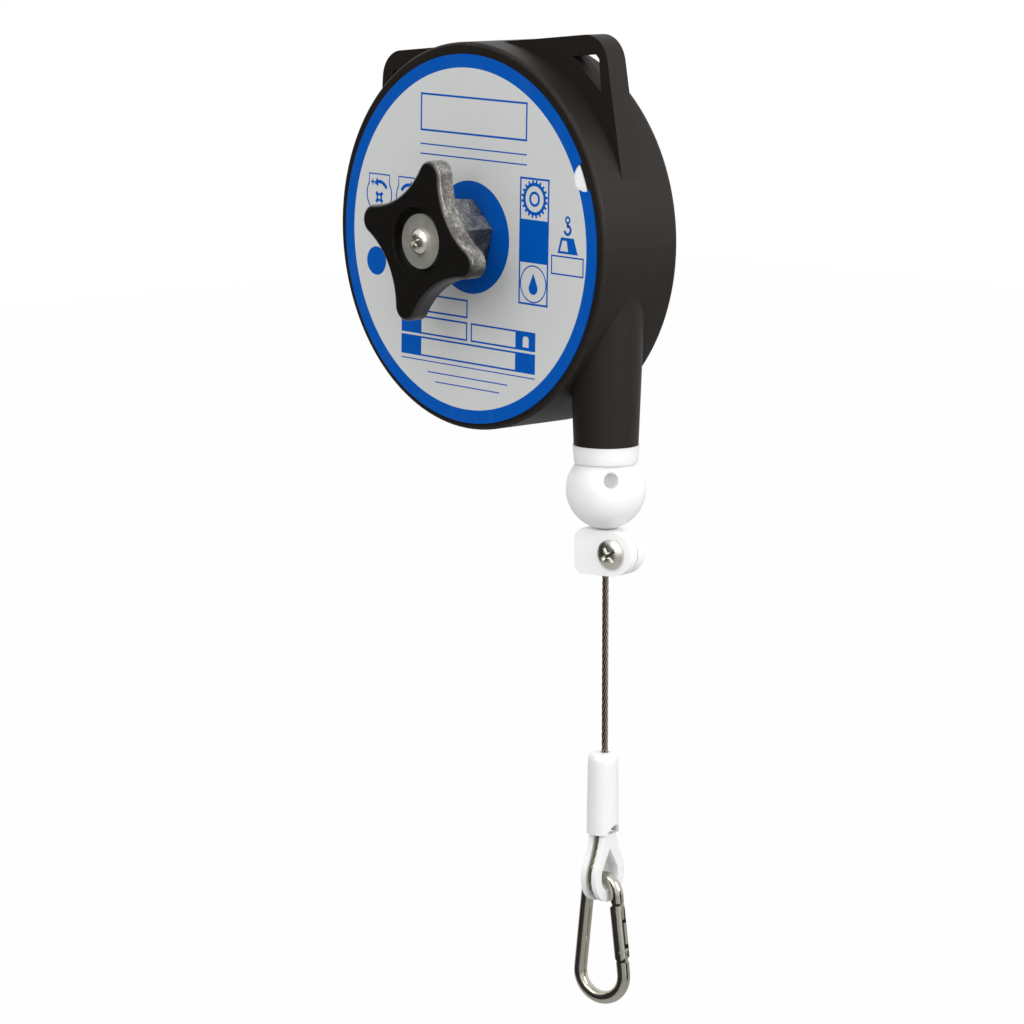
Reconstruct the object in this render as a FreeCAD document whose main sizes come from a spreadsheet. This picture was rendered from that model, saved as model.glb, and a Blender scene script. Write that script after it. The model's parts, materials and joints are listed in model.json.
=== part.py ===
import FreeCAD, Part
import Sketcher
import math
import os

from FreeCAD import Placement, Rotation, Vector

# Small spring tool balancer that hangs from two ears and carries its load on a wire rope.
# World frame: origin on the drum axis in the back face, X right, -Y to the front, Z up.

os.makedirs("parts", exist_ok=True)
doc = FreeCAD.newDocument("ToolBalancer")

# Driving dimensions in millimetres and degrees.
DIMENSIONS = [
    ("case_gap", 4.4),
    ("case_wall", 6.6),
    ("back_wall", 3.2),
    ("front_edge_round", 1.2),
    ("back_edge_round", 2.0),
    ("ear_front", 20.7),
    ("ear_thickness", 7.5),
    ("ear_top", 58.3),
    ("ear_right_width", 53.1),
    ("ear_left_width", 45.5),
    ("ear_left_flare", 4.6),
    ("ear_right_foot_inset", 1.1),
    ("ear_right_foot_height", 5.9),
    ("ear_left_foot_height", 30.8),
    ("ear_corner_round", 9.0),
    ("ear_tilt", 5.1),
    ("ear_hole_spread", 46.4),
    ("ear_hole_top", 52.3),
    ("ear_hole_shift", 4.0),
    ("ear_hole_leg", 11.2),
    ("ear_hole_nip", 1.4),
    ("ear_recess_nip", 4.0),
    ("ear_hole_round", 1.5),
    ("ear_recess_rim", 1.3),
    ("ear_web", 3.0),
    ("cover_rim", 4.4),
    ("cover_thickness", 2.5),
    ("cover_play", 0.3),
    ("cover_screw_inset", 3.2),
    ("cover_screw_turned", 45.0),
    ("cover_boss_radius", 2.8),
    ("cover_screw_radius", 1.2),
    ("cover_screw_head_radius", 2.2),
    ("cover_screw_head_height", 1.2),
    ("cover_screw_length", 12.0),
    ("label_rim", 2.8),
    ("label_thickness", 0.4),
    ("label_bore_radius", 9.0),
    ("label_drop", 0.8),
    ("label_notch_radius", 4.25),
    ("label_notch_inset", 1.2),
    ("label_notch_angle", 22.5),
    ("rope_radius", 1.0),
    ("rope_pitch", 2.1),
    ("rope_turns", 6),
    ("rope_last_turn", 270.0),
    ("rope_groove_play", 0.15),
    ("rope_back_gap", 0.2),
    ("drum_barrel_radius", 44.35),
    ("drum_barrel_wall", 3.0),
    ("drum_flange_height", 3.65),
    ("drum_flange_thickness", 1.6),
    ("drum_back_gap", 0.5),
    ("drum_web", 3.0),
    ("spring_cover_thickness", 1.8),
    ("bush_wall", 2.0),
    ("bush_boss_wall", 3.0),
    ("bush_boss_height", 4.45),
    ("shaft_radius", 5.0),
    ("running_play", 0.05),
    ("shaft_back_gap", 0.9),
    ("arbor_radius", 9.0),
    ("spring_strip", 0.5),
    ("spring_turns", 6),
    ("axial_play", 0.3),
    ("ratchet_tip_radius", 24.0),
    ("ratchet_tooth_depth", 3.5),
    ("ratchet_thickness", 4.0),
    ("ratchet_teeth", 12),
    ("pawl_pin_radius", 2.0),
    ("pawl_pin_angle", 142.0),
    ("pawl_eye_radius", 4.2),
    ("pawl_eye_play", 0.8),
    ("pawl_reach_angle", 44.0),
    ("pawl_face_angle", 0.9),
    ("pawl_nose_play", 0.4),
    ("pawl_tip_play", 0.9),
    ("pawl_nose_height", 2.2),
    ("pin_cap", 0.6),
    ("knob_height", 20.8),
    ("knob_slab", 6.0),
    ("knob_gap", 0.3),
    ("knob_lobe_circle", 20.6),
    ("knob_lobe_radius", 4.6),
    ("knob_waist_radius", 15.5),
    ("knob_turned", -15.0),
    ("knob_hub_turned", 16.0),
    ("knob_hub_radius", 12.2),
    ("knob_hub_top_radius", 13.2),
    ("knob_hub_sink", 0.5),
    ("knob_recess_radius", 10.5),
    ("knob_recess_depth", 3.1),
    ("knob_edge_round", 1.4),
    ("washer_radius", 8.3),
    ("washer_thickness", 1.2),
    ("knob_screw_radius", 2.0),
    ("knob_screw_head_radius", 3.8),
    ("knob_screw_head_height", 2.6),
    ("knob_screw_length", 12.0),
    ("tube_bottom", 60.2),
    ("tube_bottom_radius", 9.8),
    ("tube_top_radius", 11.8),
    ("tube_top", 8.0),
    ("tube_bore_radius", 4.0),
    ("outlet_stem_radius", 6.5),
    ("outlet_stem_length", 14.0),
    ("outlet_collar_radius", 10.1),
    ("outlet_collar_end_radius", 9.6),
    ("outlet_collar_height", 5.3),
    ("outlet_bore_radius", 2.0),
    ("ball_radius", 12.1),
    ("ball_sink", 3.8),
    ("ball_seat_play", 0.3),
    ("ball_bore_play", 0.35),
    ("ball_hole_radius", 2.3),
    ("ball_hole_depth", 5.5),
    ("ball_hole_rise", 4.1),
    ("ball_hole_turned", -40.0),
    ("stop_height", 13.8),
    ("stop_thickness", 8.0),
    ("stop_split", 0.5),
    ("stop_left", 8.6),
    ("stop_screw_offset", 4.5),
    ("stop_chamfer", 2.0),
    ("stop_screw_radius", 2.0),
    ("stop_screw_head_radius", 4.5),
    ("stop_screw_head_height", 2.4),
    ("stop_nut_radius", 3.6),
    ("stop_nut_thickness", 2.6),
    ("load_twist", 13.6),
    ("rope_free_length", 55.3),
    ("sleeve_length", 25.0),
    ("sleeve_top_radius", 4.6),
    ("sleeve_bottom_radius", 4.9),
    ("sleeve_wall", 1.1),
    ("sleeve_dome", 1.6),
    ("sleeve_arch_radius", 3.0),
    ("ferrule_radius", 3.2),
    ("ferrule_inset", 3.5),
    ("ferrule_length", 14.0),
    ("thimble_reach", 17.9),
    ("thimble_gap", 0.2),
    ("thimble_eye_radius", 4.8),
    ("thimble_eye_peak", 3.6),
    ("thimble_band", 3.4),
    ("thimble_thickness", 5.4),
    ("thimble_saddle", 0.7),
    ("thimble_saddle_start", 2.5),
    ("loop_bend_radius", 30.0),
    ("hook_wire_radius", 2.0),
    ("hook_hang", 5.8),
    ("hook_length", 42.1),
    ("hook_top_radius", 5.2),
    ("hook_bottom_radius", 7.8),
    ("hook_flat", 1.6),
    ("hook_beak_drop", 9.3),
    ("hook_beak_length", 5.0),
    ("hook_seat_height", 2.9),
    ("hook_lap", 0.6),
    ("gate_pivot_rise", 17.3),
    ("gate_latch_drop", 2.9),
    ("gate_latch_shift", 0.1),
    ("gate_wall", 0.3),
    ("gate_fork_reach", 3.0),
    ("gate_pin_radius", 0.8),
    ("gate_pin_head", 0.4),
    ("gate_play", 0.35),
    ("gate_slot", 1.9),
    ("gate_tongue_play", 0.15),
]

sheet = doc.addObject("Spreadsheet::Sheet", "Sizes")
for row, (alias, value) in enumerate(DIMENSIONS, start=1):
    cell = "B%d" % row
    sheet.set("A%d" % row, alias)
    sheet.set(cell, str(value))
    sheet.setAlias(cell, alias)
doc.recompute()


class Size:
    """A length or angle that knows its value and the sheet expression behind it."""

    def __init__(self, text, value):
        self.text = text
        self.value = float(value)

    def __add__(self, other):
        other = as_size(other)
        return Size("(%s + %s)" % (self.text, other.text), self.value + other.value)

    def __radd__(self, other):
        return as_size(other) + self

    def __sub__(self, other):
        other = as_size(other)
        return Size("(%s - %s)" % (self.text, other.text), self.value - other.value)

    def __rsub__(self, other):
        return as_size(other) - self

    def __mul__(self, other):
        other = as_size(other)
        return Size("(%s * %s)" % (self.text, other.text), self.value * other.value)

    def __rmul__(self, other):
        return as_size(other) * self

    def __truediv__(self, other):
        other = as_size(other)
        return Size("(%s / %s)" % (self.text, other.text), self.value / other.value)

    def __neg__(self):
        return as_size(0) - self

    def __float__(self):
        return self.value


def as_size(number):
    """Turn a plain number into a Size, and leave a Size as it is."""
    if isinstance(number, Size):
        return number
    return Size(repr(float(number)), number)


# Shares of a domed screw head: height of its edge, and its cross recess.
DOME_EDGE = 0.35
CROSS_DEPTH = 0.6
CROSS_REACH = 0.58
CROSS_HALF_WIDTH = 0.13
CROSS_TURNED = 35.0


class Sizes:
    """Named sizes, read from the sheet."""


for alias, value in DIMENSIONS:
    setattr(Sizes, alias, Size("Sizes." + alias, sheet.get(alias)))
S = Sizes

# Derived radii round the drum axis, from the rope outwards.
zero = as_size(0)
rope_offset = S.drum_barrel_radius + S.rope_groove_play + S.rope_radius
flange_radius = S.drum_barrel_radius + S.drum_flange_height
cavity_radius = flange_radius + S.case_gap
case_radius = cavity_radius + S.case_wall
cover_radius = case_radius - S.cover_rim
cover_screw_circle = cover_radius - S.cover_screw_inset
label_radius = case_radius - S.label_rim
label_notch_circle = label_radius - S.label_notch_inset
pawl_pin_circle = S.ratchet_tip_radius + S.pawl_eye_play + S.pawl_eye_radius
ratchet_root_radius = S.ratchet_tip_radius - S.ratchet_tooth_depth

# Derived sizes along the drum axis, measured from the back face to the front.
drum_back = S.back_wall + S.drum_back_gap
web_front = drum_back + S.drum_web
barrel_back = drum_back + S.drum_flange_thickness
rope_back = barrel_back + S.rope_radius + S.rope_back_gap
rope_plane = rope_back + S.rope_pitch * (S.rope_turns - 1)
barrel_front = rope_plane + S.rope_radius + S.rope_groove_play
drum_front = barrel_front + S.drum_flange_thickness
spring_back = web_front + S.axial_play
spring_front = drum_front - S.spring_cover_thickness - S.axial_play
spring_outer = S.drum_barrel_radius - S.drum_barrel_wall
bush_radius = S.shaft_radius + S.bush_wall
bush_bore = S.shaft_radius + S.running_play
ratchet_back = drum_front + 2 * S.axial_play
ratchet_front = ratchet_back + S.ratchet_thickness
bush_back = ratchet_front + S.axial_play
cover_back = bush_back + S.bush_boss_height
case_depth = cover_back + S.cover_thickness
label_front = case_depth + S.label_thickness
knob_back = label_front + S.knob_gap
knob_front = label_front + S.knob_height
recess_floor = knob_front - S.knob_recess_depth
shaft_front = recess_floor - S.axial_play
washer_front = recess_floor + S.washer_thickness
screw_tip = washer_front - S.knob_screw_length
ratchet_face = S.pawl_pin_angle - S.pawl_reach_angle

# Derived heights of the load train, measured downwards from the drum axis.
collar_bottom = S.tube_bottom + S.outlet_collar_height
stop_top = collar_bottom + 2 * S.ball_radius - S.ball_sink
stop_bottom = stop_top + S.stop_height
ball_centre = stop_top - S.ball_radius
sleeve_top = stop_bottom + S.rope_free_length
sleeve_bottom = sleeve_top + S.sleeve_length
ferrule_top = sleeve_top + S.ferrule_inset
ferrule_bottom = ferrule_top + S.ferrule_length
thimble_top = sleeve_bottom + S.thimble_gap
eye_bottom = sleeve_bottom + S.thimble_reach
hook_top = eye_bottom - S.hook_hang
hook_bottom = hook_top + S.hook_length
beak_tip = hook_top + S.hook_beak_drop
gate_pivot = hook_bottom - S.gate_pivot_rise

# Turned pieces have the drum axis as their own z axis, pointing to the front.
DRUM_FRAME = Placement(Vector(0, 0, 0), Rotation(Vector(1, 0, 0), 90))
# Hanging pieces have the rope as their own z axis, pointing down, with y to the screw side.
LOAD_FRAME = Placement(
    Vector(float(rope_offset), -float(rope_plane), 0),
    Rotation(Vector(0, 0, 1), float(S.load_twist)) * Rotation(Vector(1, 0, 0), 180),
)

PIECES = []


def register(item, label, frame):
    """Name a finished piece, place it and keep it for export."""
    item.Label = label
    item.Placement = frame
    PIECES.append(item)
    return item


def new_body(name):
    """Start a PartDesign body."""
    return doc.addObject("PartDesign::Body", name)


def origin_plane(body, role):
    """Find one of the body's own origin planes."""
    for feature in body.Origin.OriginFeatures:
        if feature.Role == role:
            return feature
    raise ValueError(role)


def new_sketch(body, name, role, lift=None, turned=None):
    """Attach a sketch to an origin plane of the body, lifted along its normal."""
    sketch = body.newObject("Sketcher::SketchObject", name)
    sketch.AttachmentSupport = [(origin_plane(body, role), "")]
    sketch.MapMode = "FlatFace"
    if lift is not None:
        sketch.setExpression("AttachmentOffset.Base.z", as_size(lift).text)
    if turned is not None:
        sketch.AttachmentOffset = Placement(Vector(0, 0, 0), Rotation(Vector(0, 0, 1), 1))
        sketch.setExpression("AttachmentOffset.Rotation.Angle", as_size(turned).text)
    return sketch


def pin_point(sketch, geometry, position, point):
    """Tie a sketch point to its sizes, measured from the sketch origin."""
    for kind, size in zip(("DistanceX", "DistanceY"), point):
        size = as_size(size)
        if abs(size.value) < 1e-9:
            axis = -2 if kind == "DistanceX" else -1
            sketch.addConstraint(Sketcher.Constraint("PointOnObject", geometry, position, axis))
            continue
        index = sketch.addConstraint(
            Sketcher.Constraint(kind, -1, 1, geometry, position, size.value)
        )
        sketch.setExpression("Constraints[%d]" % index, size.text)


def outline(sketch, corners):
    """Draw a closed outline of straight lines through the corners."""
    points = [Vector(float(x), float(y), 0) for x, y in corners]
    count = len(points)
    first = sketch.GeometryCount
    for number in range(count):
        end = points[(number + 1) % count]
        sketch.addGeometry(Part.LineSegment(points[number], end), False)
    for number in range(count):
        after = first + (number + 1) % count
        sketch.addConstraint(Sketcher.Constraint("Coincident", first + number, 2, after, 1))
    for number, corner in enumerate(corners):
        pin_point(sketch, first + number, 1, corner)
    return sketch


def ring(sketch, centre, radius):
    """Draw a circle."""
    middle = Vector(float(centre[0]), float(centre[1]), 0)
    index = sketch.addGeometry(Part.Circle(middle, Vector(0, 0, 1), float(radius)), False)
    pin_point(sketch, index, 3, centre)
    radius = as_size(radius)
    constraint = sketch.addConstraint(Sketcher.Constraint("Radius", index, radius.value))
    sketch.setExpression("Constraints[%d]" % constraint, radius.text)
    return sketch


def four_rings(sketch, centre_circle, radius):
    """Draw four circles at right angles on a centre circle."""
    for centre in ((centre_circle, zero), (zero, centre_circle), (-centre_circle, zero),
                   (zero, -centre_circle)):
        ring(sketch, centre, radius)
    return sketch


def pad(body, sketch, length):
    """Raise a sketch along its normal."""
    feature = body.newObject("PartDesign::Pad", sketch.Name + "Pad")
    feature.Profile = sketch
    feature.setExpression("Length", as_size(length).text)
    doc.recompute()
    return feature


def pocket(body, sketch, length, reverse=False):
    """Cut a sketch into the body and check that it took something away."""
    before = body.Shape.Volume
    feature = body.newObject("PartDesign::Pocket", sketch.Name + "Pocket")
    feature.Profile = sketch
    feature.setExpression("Length", as_size(length).text)
    feature.Reversed = reverse
    doc.recompute()
    if body.Shape.Volume >= before:
        raise ValueError(sketch.Name + " cuts nothing")
    return feature


def turn(body, sketch, kind="PartDesign::Revolution"):
    """Turn a sketch in the xz plane about the body's z axis."""
    feature = body.newObject(kind, sketch.Name + "Turn")
    feature.Profile = sketch
    feature.ReferenceAxis = (sketch, ["V_Axis"])
    feature.Angle = 360
    doc.recompute()
    return feature


def turned_body(name, corners):
    """Make a body by turning one outline of (radius, height) corners."""
    body = new_body(name)
    sketch = outline(new_sketch(body, name + "Profile", "XZ_Plane"), corners)
    turn(body, sketch)
    return body


def edges_where(shape, test):
    """Name the edges of a shape that pass a test."""
    return ["Edge%d" % (i + 1) for i, edge in enumerate(shape.Edges) if test(edge)]


def is_circle(edge, radius, height):
    """Tell whether an edge is a circle about the z axis at a height."""
    curve = edge.Curve
    if not isinstance(curve, Part.Circle):
        return False
    centre = curve.Center
    near_axis = math.hypot(centre.x, centre.y) < 1e-4
    same_radius = abs(curve.Radius - float(radius)) < 1e-4
    return near_axis and same_radius and abs(centre.z - float(height)) < 1e-4


def is_upright(edge, x, y):
    """Tell whether an edge runs along z through x and y."""
    ends = [vertex.Point for vertex in edge.Vertexes]
    if len(ends) != 2:
        return False
    target = Vector(x, y, 0)
    return all(Vector(end.x, end.y, 0).sub(target).Length < 1e-3 for end in ends)


def dress(body, kind, name, names, size):
    """Round or chamfer named edges of the body's last feature."""
    base = body.Tip
    feature = body.newObject(kind, name)
    feature.Base = (base, names)
    feature.setExpression("Size" if kind.endswith("Chamfer") else "Radius", as_size(size).text)
    doc.recompute()
    return feature


def solid_piece(label, shape, frame):
    """Keep a shape made by direct modelling as a piece."""
    item = doc.addObject("Part::Feature", label.title().replace("_", ""))
    item.Shape = shape
    return register(item, label, frame)


def rod(radius, bottom, top, x=0, y=0):
    """Make a plain cylinder along z."""
    height = float(top) - float(bottom)
    return Part.makeCylinder(float(radius), height, Vector(float(x), float(y), float(bottom)))


def turned(points, angle=360):
    """Turn (radius, height) points about the z axis into a solid."""
    corners = [Vector(float(radius), 0, float(height)) for radius, height in points]
    face = Part.Face(Part.makePolygon(corners + corners[:1]))
    return face.revolve(Vector(0, 0, 0), Vector(0, 0, 1), angle)


def flat(points, bottom, top):
    """Raise a closed outline of points from one height to another."""
    corners = [Vector(float(x), float(y), float(bottom)) for x, y in points]
    face = Part.Face(Part.makePolygon(corners + corners[:1]))
    return face.extrude(Vector(0, 0, float(top) - float(bottom)))


def polar(radius, angle):
    """Point at a radius and an angle in degrees."""
    turn_angle = math.radians(angle)
    return float(radius) * math.cos(turn_angle), float(radius) * math.sin(turn_angle)


def make_case():
    """Moulded case: drum housing, two hanging ears and the rope outlet."""
    body = new_body("Case")
    pad(body, ring(new_sketch(body, "CaseRound", "XY_Plane"), (zero, zero), case_radius),
        case_depth)
    ear_back = S.ear_front - S.ear_thickness
    ears = new_sketch(body, "CaseEars", "XY_Plane", ear_back, S.ear_tilt)
    outline(ears, [
        (-S.ear_left_width, S.ear_top),
        (S.ear_right_width, S.ear_top),
        (case_radius - S.ear_right_foot_inset, S.ear_right_foot_height),
        (zero, zero),
        (-(S.ear_left_width + S.ear_left_flare), S.ear_left_foot_height),
    ])
    pad(body, ears, S.ear_thickness)
    tilt = math.radians(float(S.ear_tilt))

    def tilted(x, y):
        """Turn a point of the ear outline into the body's own frame."""
        return (x * math.cos(tilt) - y * math.sin(tilt), x * math.sin(tilt) + y * math.cos(tilt))

    tops = [tilted(-float(S.ear_left_width), float(S.ear_top)),
            tilted(float(S.ear_right_width), float(S.ear_top))]
    corners = edges_where(body.Shape, lambda edge: any(is_upright(edge, *top) for top in tops))
    dress(body, "PartDesign::Fillet", "EarCorners", corners, S.ear_corner_round)
    tube = body.newObject("PartDesign::AdditiveCone", "OutletTube")
    tube.Placement = Placement(Vector(0, 0, 0), Rotation(Vector(1, 0, 0), -90))
    tube.setExpression("Placement.Base.x", rope_offset.text)
    tube.setExpression("Placement.Base.y", (-S.tube_bottom).text)
    tube.setExpression("Placement.Base.z", rope_plane.text)
    tube.setExpression("Radius1", S.tube_bottom_radius.text)
    tube.setExpression("Radius2", S.tube_top_radius.text)
    tube.setExpression("Height", (S.tube_bottom - S.tube_top).text)
    doc.recompute()
    rims = edges_where(body.Shape, lambda edge: is_circle(edge, case_radius, case_depth))
    dress(body, "PartDesign::Fillet", "FrontEdge", rims, S.front_edge_round)
    backs = edges_where(body.Shape, lambda edge: is_circle(edge, case_radius, 0))
    dress(body, "PartDesign::Fillet", "BackEdge", backs, S.back_edge_round)
    cavity = ring(new_sketch(body, "Cavity", "XY_Plane", S.back_wall), (zero, zero),
                  cavity_radius)
    pocket(body, cavity, case_depth, True)
    recess = ring(new_sketch(body, "CoverSeat", "XY_Plane", cover_back), (zero, zero),
                  cover_radius + S.cover_play)
    pocket(body, recess, case_depth, True)
    rear = ring(new_sketch(body, "RearBore", "XY_Plane", S.shaft_back_gap), (zero, zero),
                bush_radius)
    pocket(body, rear, case_depth, True)
    for side, name in ((1, "Right"), (-1, "Left")):
        corner = (S.ear_hole_shift + side * S.ear_hole_spread, S.ear_hole_top)
        for kind, rim, height, nip in (
                ("Recess", S.ear_recess_rim, S.ear_front - S.ear_web, S.ear_recess_nip),
                ("Hole", zero, S.ear_front, S.ear_hole_nip)):
            leg = S.ear_hole_leg + rim * (2 + math.sqrt(2))
            outer = corner[0] + side * rim
            upper = corner[1] + rim
            sketch = new_sketch(body, name + "Ear" + kind, "XY_Plane", height, S.ear_tilt)
            outline(sketch, [(outer - side * leg, upper), (outer - side * nip, upper),
                             (outer, upper - nip), (outer, upper - leg)])
            pocket(body, sketch, S.ear_thickness)
            nips = [tilted(float(outer - side * nip), float(upper)),
                    tilted(float(outer), float(upper - nip))]
            found = edges_where(body.Shape, lambda edge: any(is_upright(edge, *p) for p in nips))
            dress(body, "PartDesign::Fillet", name + "Ear" + kind + "Round", found,
                  S.ear_hole_round)
    stem = body.newObject("PartDesign::SubtractiveCylinder", "OutletStemBore")
    stem.Placement = Placement(Vector(0, 0, 0), Rotation(Vector(1, 0, 0), -90))
    stem.setExpression("Placement.Base.x", rope_offset.text)
    stem.setExpression("Placement.Base.y", (-S.tube_bottom).text)
    stem.setExpression("Placement.Base.z", rope_plane.text)
    stem.setExpression("Radius", S.outlet_stem_radius.text)
    stem.setExpression("Height", S.outlet_stem_length.text)
    throat = body.newObject("PartDesign::SubtractiveCylinder", "OutletThroat")
    throat.Placement = Placement(Vector(0, 0, 0), Rotation(Vector(1, 0, 0), -90))
    throat.setExpression("Placement.Base.x", rope_offset.text)
    throat.setExpression("Placement.Base.y", (-S.tube_bottom).text)
    throat.setExpression("Placement.Base.z", rope_plane.text)
    throat.setExpression("Radius", S.tube_bore_radius.text)
    throat.setExpression("Height", (S.tube_bottom - S.tube_top).text)
    bosses = new_sketch(body, "ScrewBosses", "XY_Plane", S.back_wall, S.cover_screw_turned)
    pad(body, four_rings(bosses, cover_screw_circle, S.cover_boss_radius),
        cover_back - S.back_wall)
    holes = new_sketch(body, "ScrewHoles", "XY_Plane", cover_back, S.cover_screw_turned)
    pocket(body, four_rings(holes, cover_screw_circle, S.cover_screw_radius),
           S.cover_screw_length)
    doc.recompute()
    return register(body, "case", DRUM_FRAME)


def make_front_cover():
    """Plate that closes the case and carries the front bush and the pawl pin."""
    body = new_body("FrontCover")
    pad(body, ring(new_sketch(body, "CoverPlate", "XY_Plane", cover_back), (zero, zero),
                   cover_radius), S.cover_thickness)
    hub = ring(new_sketch(body, "CoverHub", "XY_Plane", bush_back), (zero, zero),
               bush_radius + S.bush_boss_wall)
    pad(body, hub, cover_back - bush_back)
    centre = (pawl_pin_circle, zero)
    boss = new_sketch(body, "PinBoss", "XY_Plane", bush_back, S.pawl_pin_angle)
    pad(body, ring(boss, centre, S.pawl_pin_radius + S.bush_wall), cover_back - bush_back)
    pocket(body, ring(new_sketch(body, "BushBore", "XY_Plane", case_depth), (zero, zero),
                      bush_radius), case_depth)
    pin = new_sketch(body, "PinBore", "XY_Plane", case_depth - S.pin_cap, S.pawl_pin_angle)
    pocket(body, ring(pin, centre, S.pawl_pin_radius), case_depth)
    screws = new_sketch(body, "CoverHoles", "XY_Plane", case_depth, S.cover_screw_turned)
    pocket(body, four_rings(screws, cover_screw_circle, S.cover_screw_radius), case_depth)
    heads = new_sketch(body, "CoverHeads", "XY_Plane", case_depth, S.cover_screw_turned)
    pocket(body, four_rings(heads, cover_screw_circle, S.cover_screw_head_radius),
           S.cover_screw_head_height)
    return register(body, "front_cover", DRUM_FRAME)


def make_label():
    """Round adhesive label over the cover, with a nick at its rim."""
    body = new_body("Label")
    centre = (zero, -S.label_drop)
    disc = ring(new_sketch(body, "LabelDisc", "XY_Plane", case_depth), centre, label_radius)
    pad(body, disc, S.label_thickness)
    bore = new_sketch(body, "LabelBore", "XY_Plane", label_front)
    pocket(body, ring(bore, (zero, zero), S.label_bore_radius), S.label_thickness)
    nick = new_sketch(body, "LabelNick", "XY_Plane", label_front, S.label_notch_angle)
    pocket(body, ring(nick, (label_notch_circle, zero), S.label_notch_radius),
           S.label_thickness)
    return register(body, "label", DRUM_FRAME)


def make_cover_screws():
    """Four countersunk cover screws as one group."""
    screws = []
    head = float(case_depth) - float(S.cover_screw_head_height)
    for number in range(4):
        x, y = polar(cover_screw_circle, float(S.cover_screw_turned) + 90 * number)
        bottom = float(cover_back) - float(S.cover_screw_length)
        shank = rod(S.cover_screw_radius, bottom, head, x, y)
        screws.append(shank.fuse(rod(S.cover_screw_head_radius, head, case_depth, x, y)))
    return solid_piece("cover_screws", Part.makeCompound(screws), DRUM_FRAME)


def make_bushes():
    """Plain bearings of the shaft in the case, the cover and the drum."""
    spans = [
        ("rear_bush", S.shaft_back_gap, S.back_wall),
        ("front_bush", bush_back, case_depth),
        ("drum_back_bush", drum_back, web_front),
        ("drum_front_bush", drum_front - S.spring_cover_thickness, drum_front),
    ]
    for label, bottom, top in spans:
        corners = [(bush_bore, bottom), (bush_radius, bottom), (bush_radius, top),
                   (bush_bore, top)]
        register(turned_body(label.title().replace("_", ""), corners), label, DRUM_FRAME)


def make_drum():
    """Rope drum: a cup with two flanges and a web that holds the back bush."""
    corners = [
        (bush_radius, drum_back),
        (flange_radius, drum_back),
        (flange_radius, barrel_back),
        (S.drum_barrel_radius, barrel_back),
        (S.drum_barrel_radius, barrel_front),
        (flange_radius, barrel_front),
        (flange_radius, drum_front),
        (spring_outer, drum_front),
        (spring_outer, web_front),
        (bush_radius, web_front),
    ]
    register(turned_body("CableDrum", corners), "cable_drum", DRUM_FRAME)
    cover_bottom = drum_front - S.spring_cover_thickness
    corners = [(bush_radius, cover_bottom), (spring_outer, cover_bottom),
               (spring_outer, drum_front), (bush_radius, drum_front)]
    register(turned_body("SpringCover", corners), "spring_cover", DRUM_FRAME)


def make_wound_rope():
    """The turns of rope that lie side by side on the drum."""
    inner = float(rope_offset) - float(S.rope_radius)
    crest = float(rope_offset) + float(S.rope_radius)
    valley = float(rope_offset)
    half = float(S.rope_pitch) / 2
    plane = float(rope_plane)
    points = [(valley, float(rope_back) - float(S.rope_radius))]
    for number in range(int(float(S.rope_turns)) - 1):
        middle = float(rope_back) + float(S.rope_pitch) * number
        points.append((crest, middle))
        points.append((valley, middle + half))
    points.append((inner, plane - half))
    points.append((inner, float(rope_back) - float(S.rope_radius)))
    last = [(inner, plane - half), (valley, plane - half), (crest, plane),
            (valley, plane + float(S.rope_radius)), (inner, plane + float(S.rope_radius))]
    shape = turned(points).fuse(turned(last, float(S.rope_last_turn)))
    return solid_piece("wound_rope", shape.removeSplitter(), DRUM_FRAME)


def make_power_spring():
    """Flat spiral spring between the arbor and the barrel, drawn as half circles."""
    strip = float(S.spring_strip)
    start = float(S.arbor_radius) + strip
    step = (float(spring_outer) - strip - start) / (float(S.spring_turns) + 0.5)
    inner, outer = [], []
    radius = start
    centre = 0.0
    side = 1
    for number in range(int(2 * float(S.spring_turns))):
        for edges, reach in ((inner, radius), (outer, radius + strip)):
            first = Vector(centre + side * reach, 0, 0)
            middle = Vector(centre, side * reach, 0)
            last = Vector(centre - side * reach, 0, 0)
            edges.append(Part.Arc(first, middle, last).toShape())
        centre = centre + side * step / 2
        radius = radius + step / 2
        side = -side
    ends = [(inner[0].Vertexes, outer[0].Vertexes), (inner[-1].Vertexes, outer[-1].Vertexes)]
    caps = [
        Part.makeLine(ends[0][0][0].Point, ends[0][1][0].Point),
        Part.makeLine(ends[1][0][1].Point, ends[1][1][1].Point),
    ]
    wire = Part.Wire(Part.__sortEdges__(inner + outer + caps))
    face = Part.Face(wire)
    face.translate(Vector(0, 0, float(spring_back)))
    shape = face.extrude(Vector(0, 0, float(spring_front - spring_back)))
    return solid_piece("power_spring", shape, DRUM_FRAME)


def make_shaft():
    """Arbor shaft: spring drum in the middle, knob seat at the front."""
    corners = [
        (zero, S.shaft_back_gap + S.axial_play),
        (S.shaft_radius, S.shaft_back_gap + S.axial_play),
        (S.shaft_radius, spring_back),
        (S.arbor_radius, spring_back),
        (S.arbor_radius, spring_front),
        (S.shaft_radius, spring_front),
        (S.shaft_radius, shaft_front),
        (S.knob_screw_radius, shaft_front),
        (S.knob_screw_radius, screw_tip),
        (zero, screw_tip),
    ]
    return register(turned_body("ArborShaft", corners), "arbor_shaft", DRUM_FRAME)


def make_ratchet():
    """Ratchet wheel with saw teeth, fixed to the shaft."""
    count = int(float(S.ratchet_teeth))
    tooth = 360.0 / count
    points = []
    for number in range(count):
        angle = float(ratchet_face) + tooth * number
        points.append(polar(S.ratchet_tip_radius, angle))
        points.append(polar(ratchet_root_radius, angle + 0.01))
    wheel = flat(points, ratchet_back, ratchet_front)
    wheel = wheel.cut(rod(S.shaft_radius, ratchet_back, ratchet_front))
    return solid_piece("ratchet_wheel", wheel, DRUM_FRAME)


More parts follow.
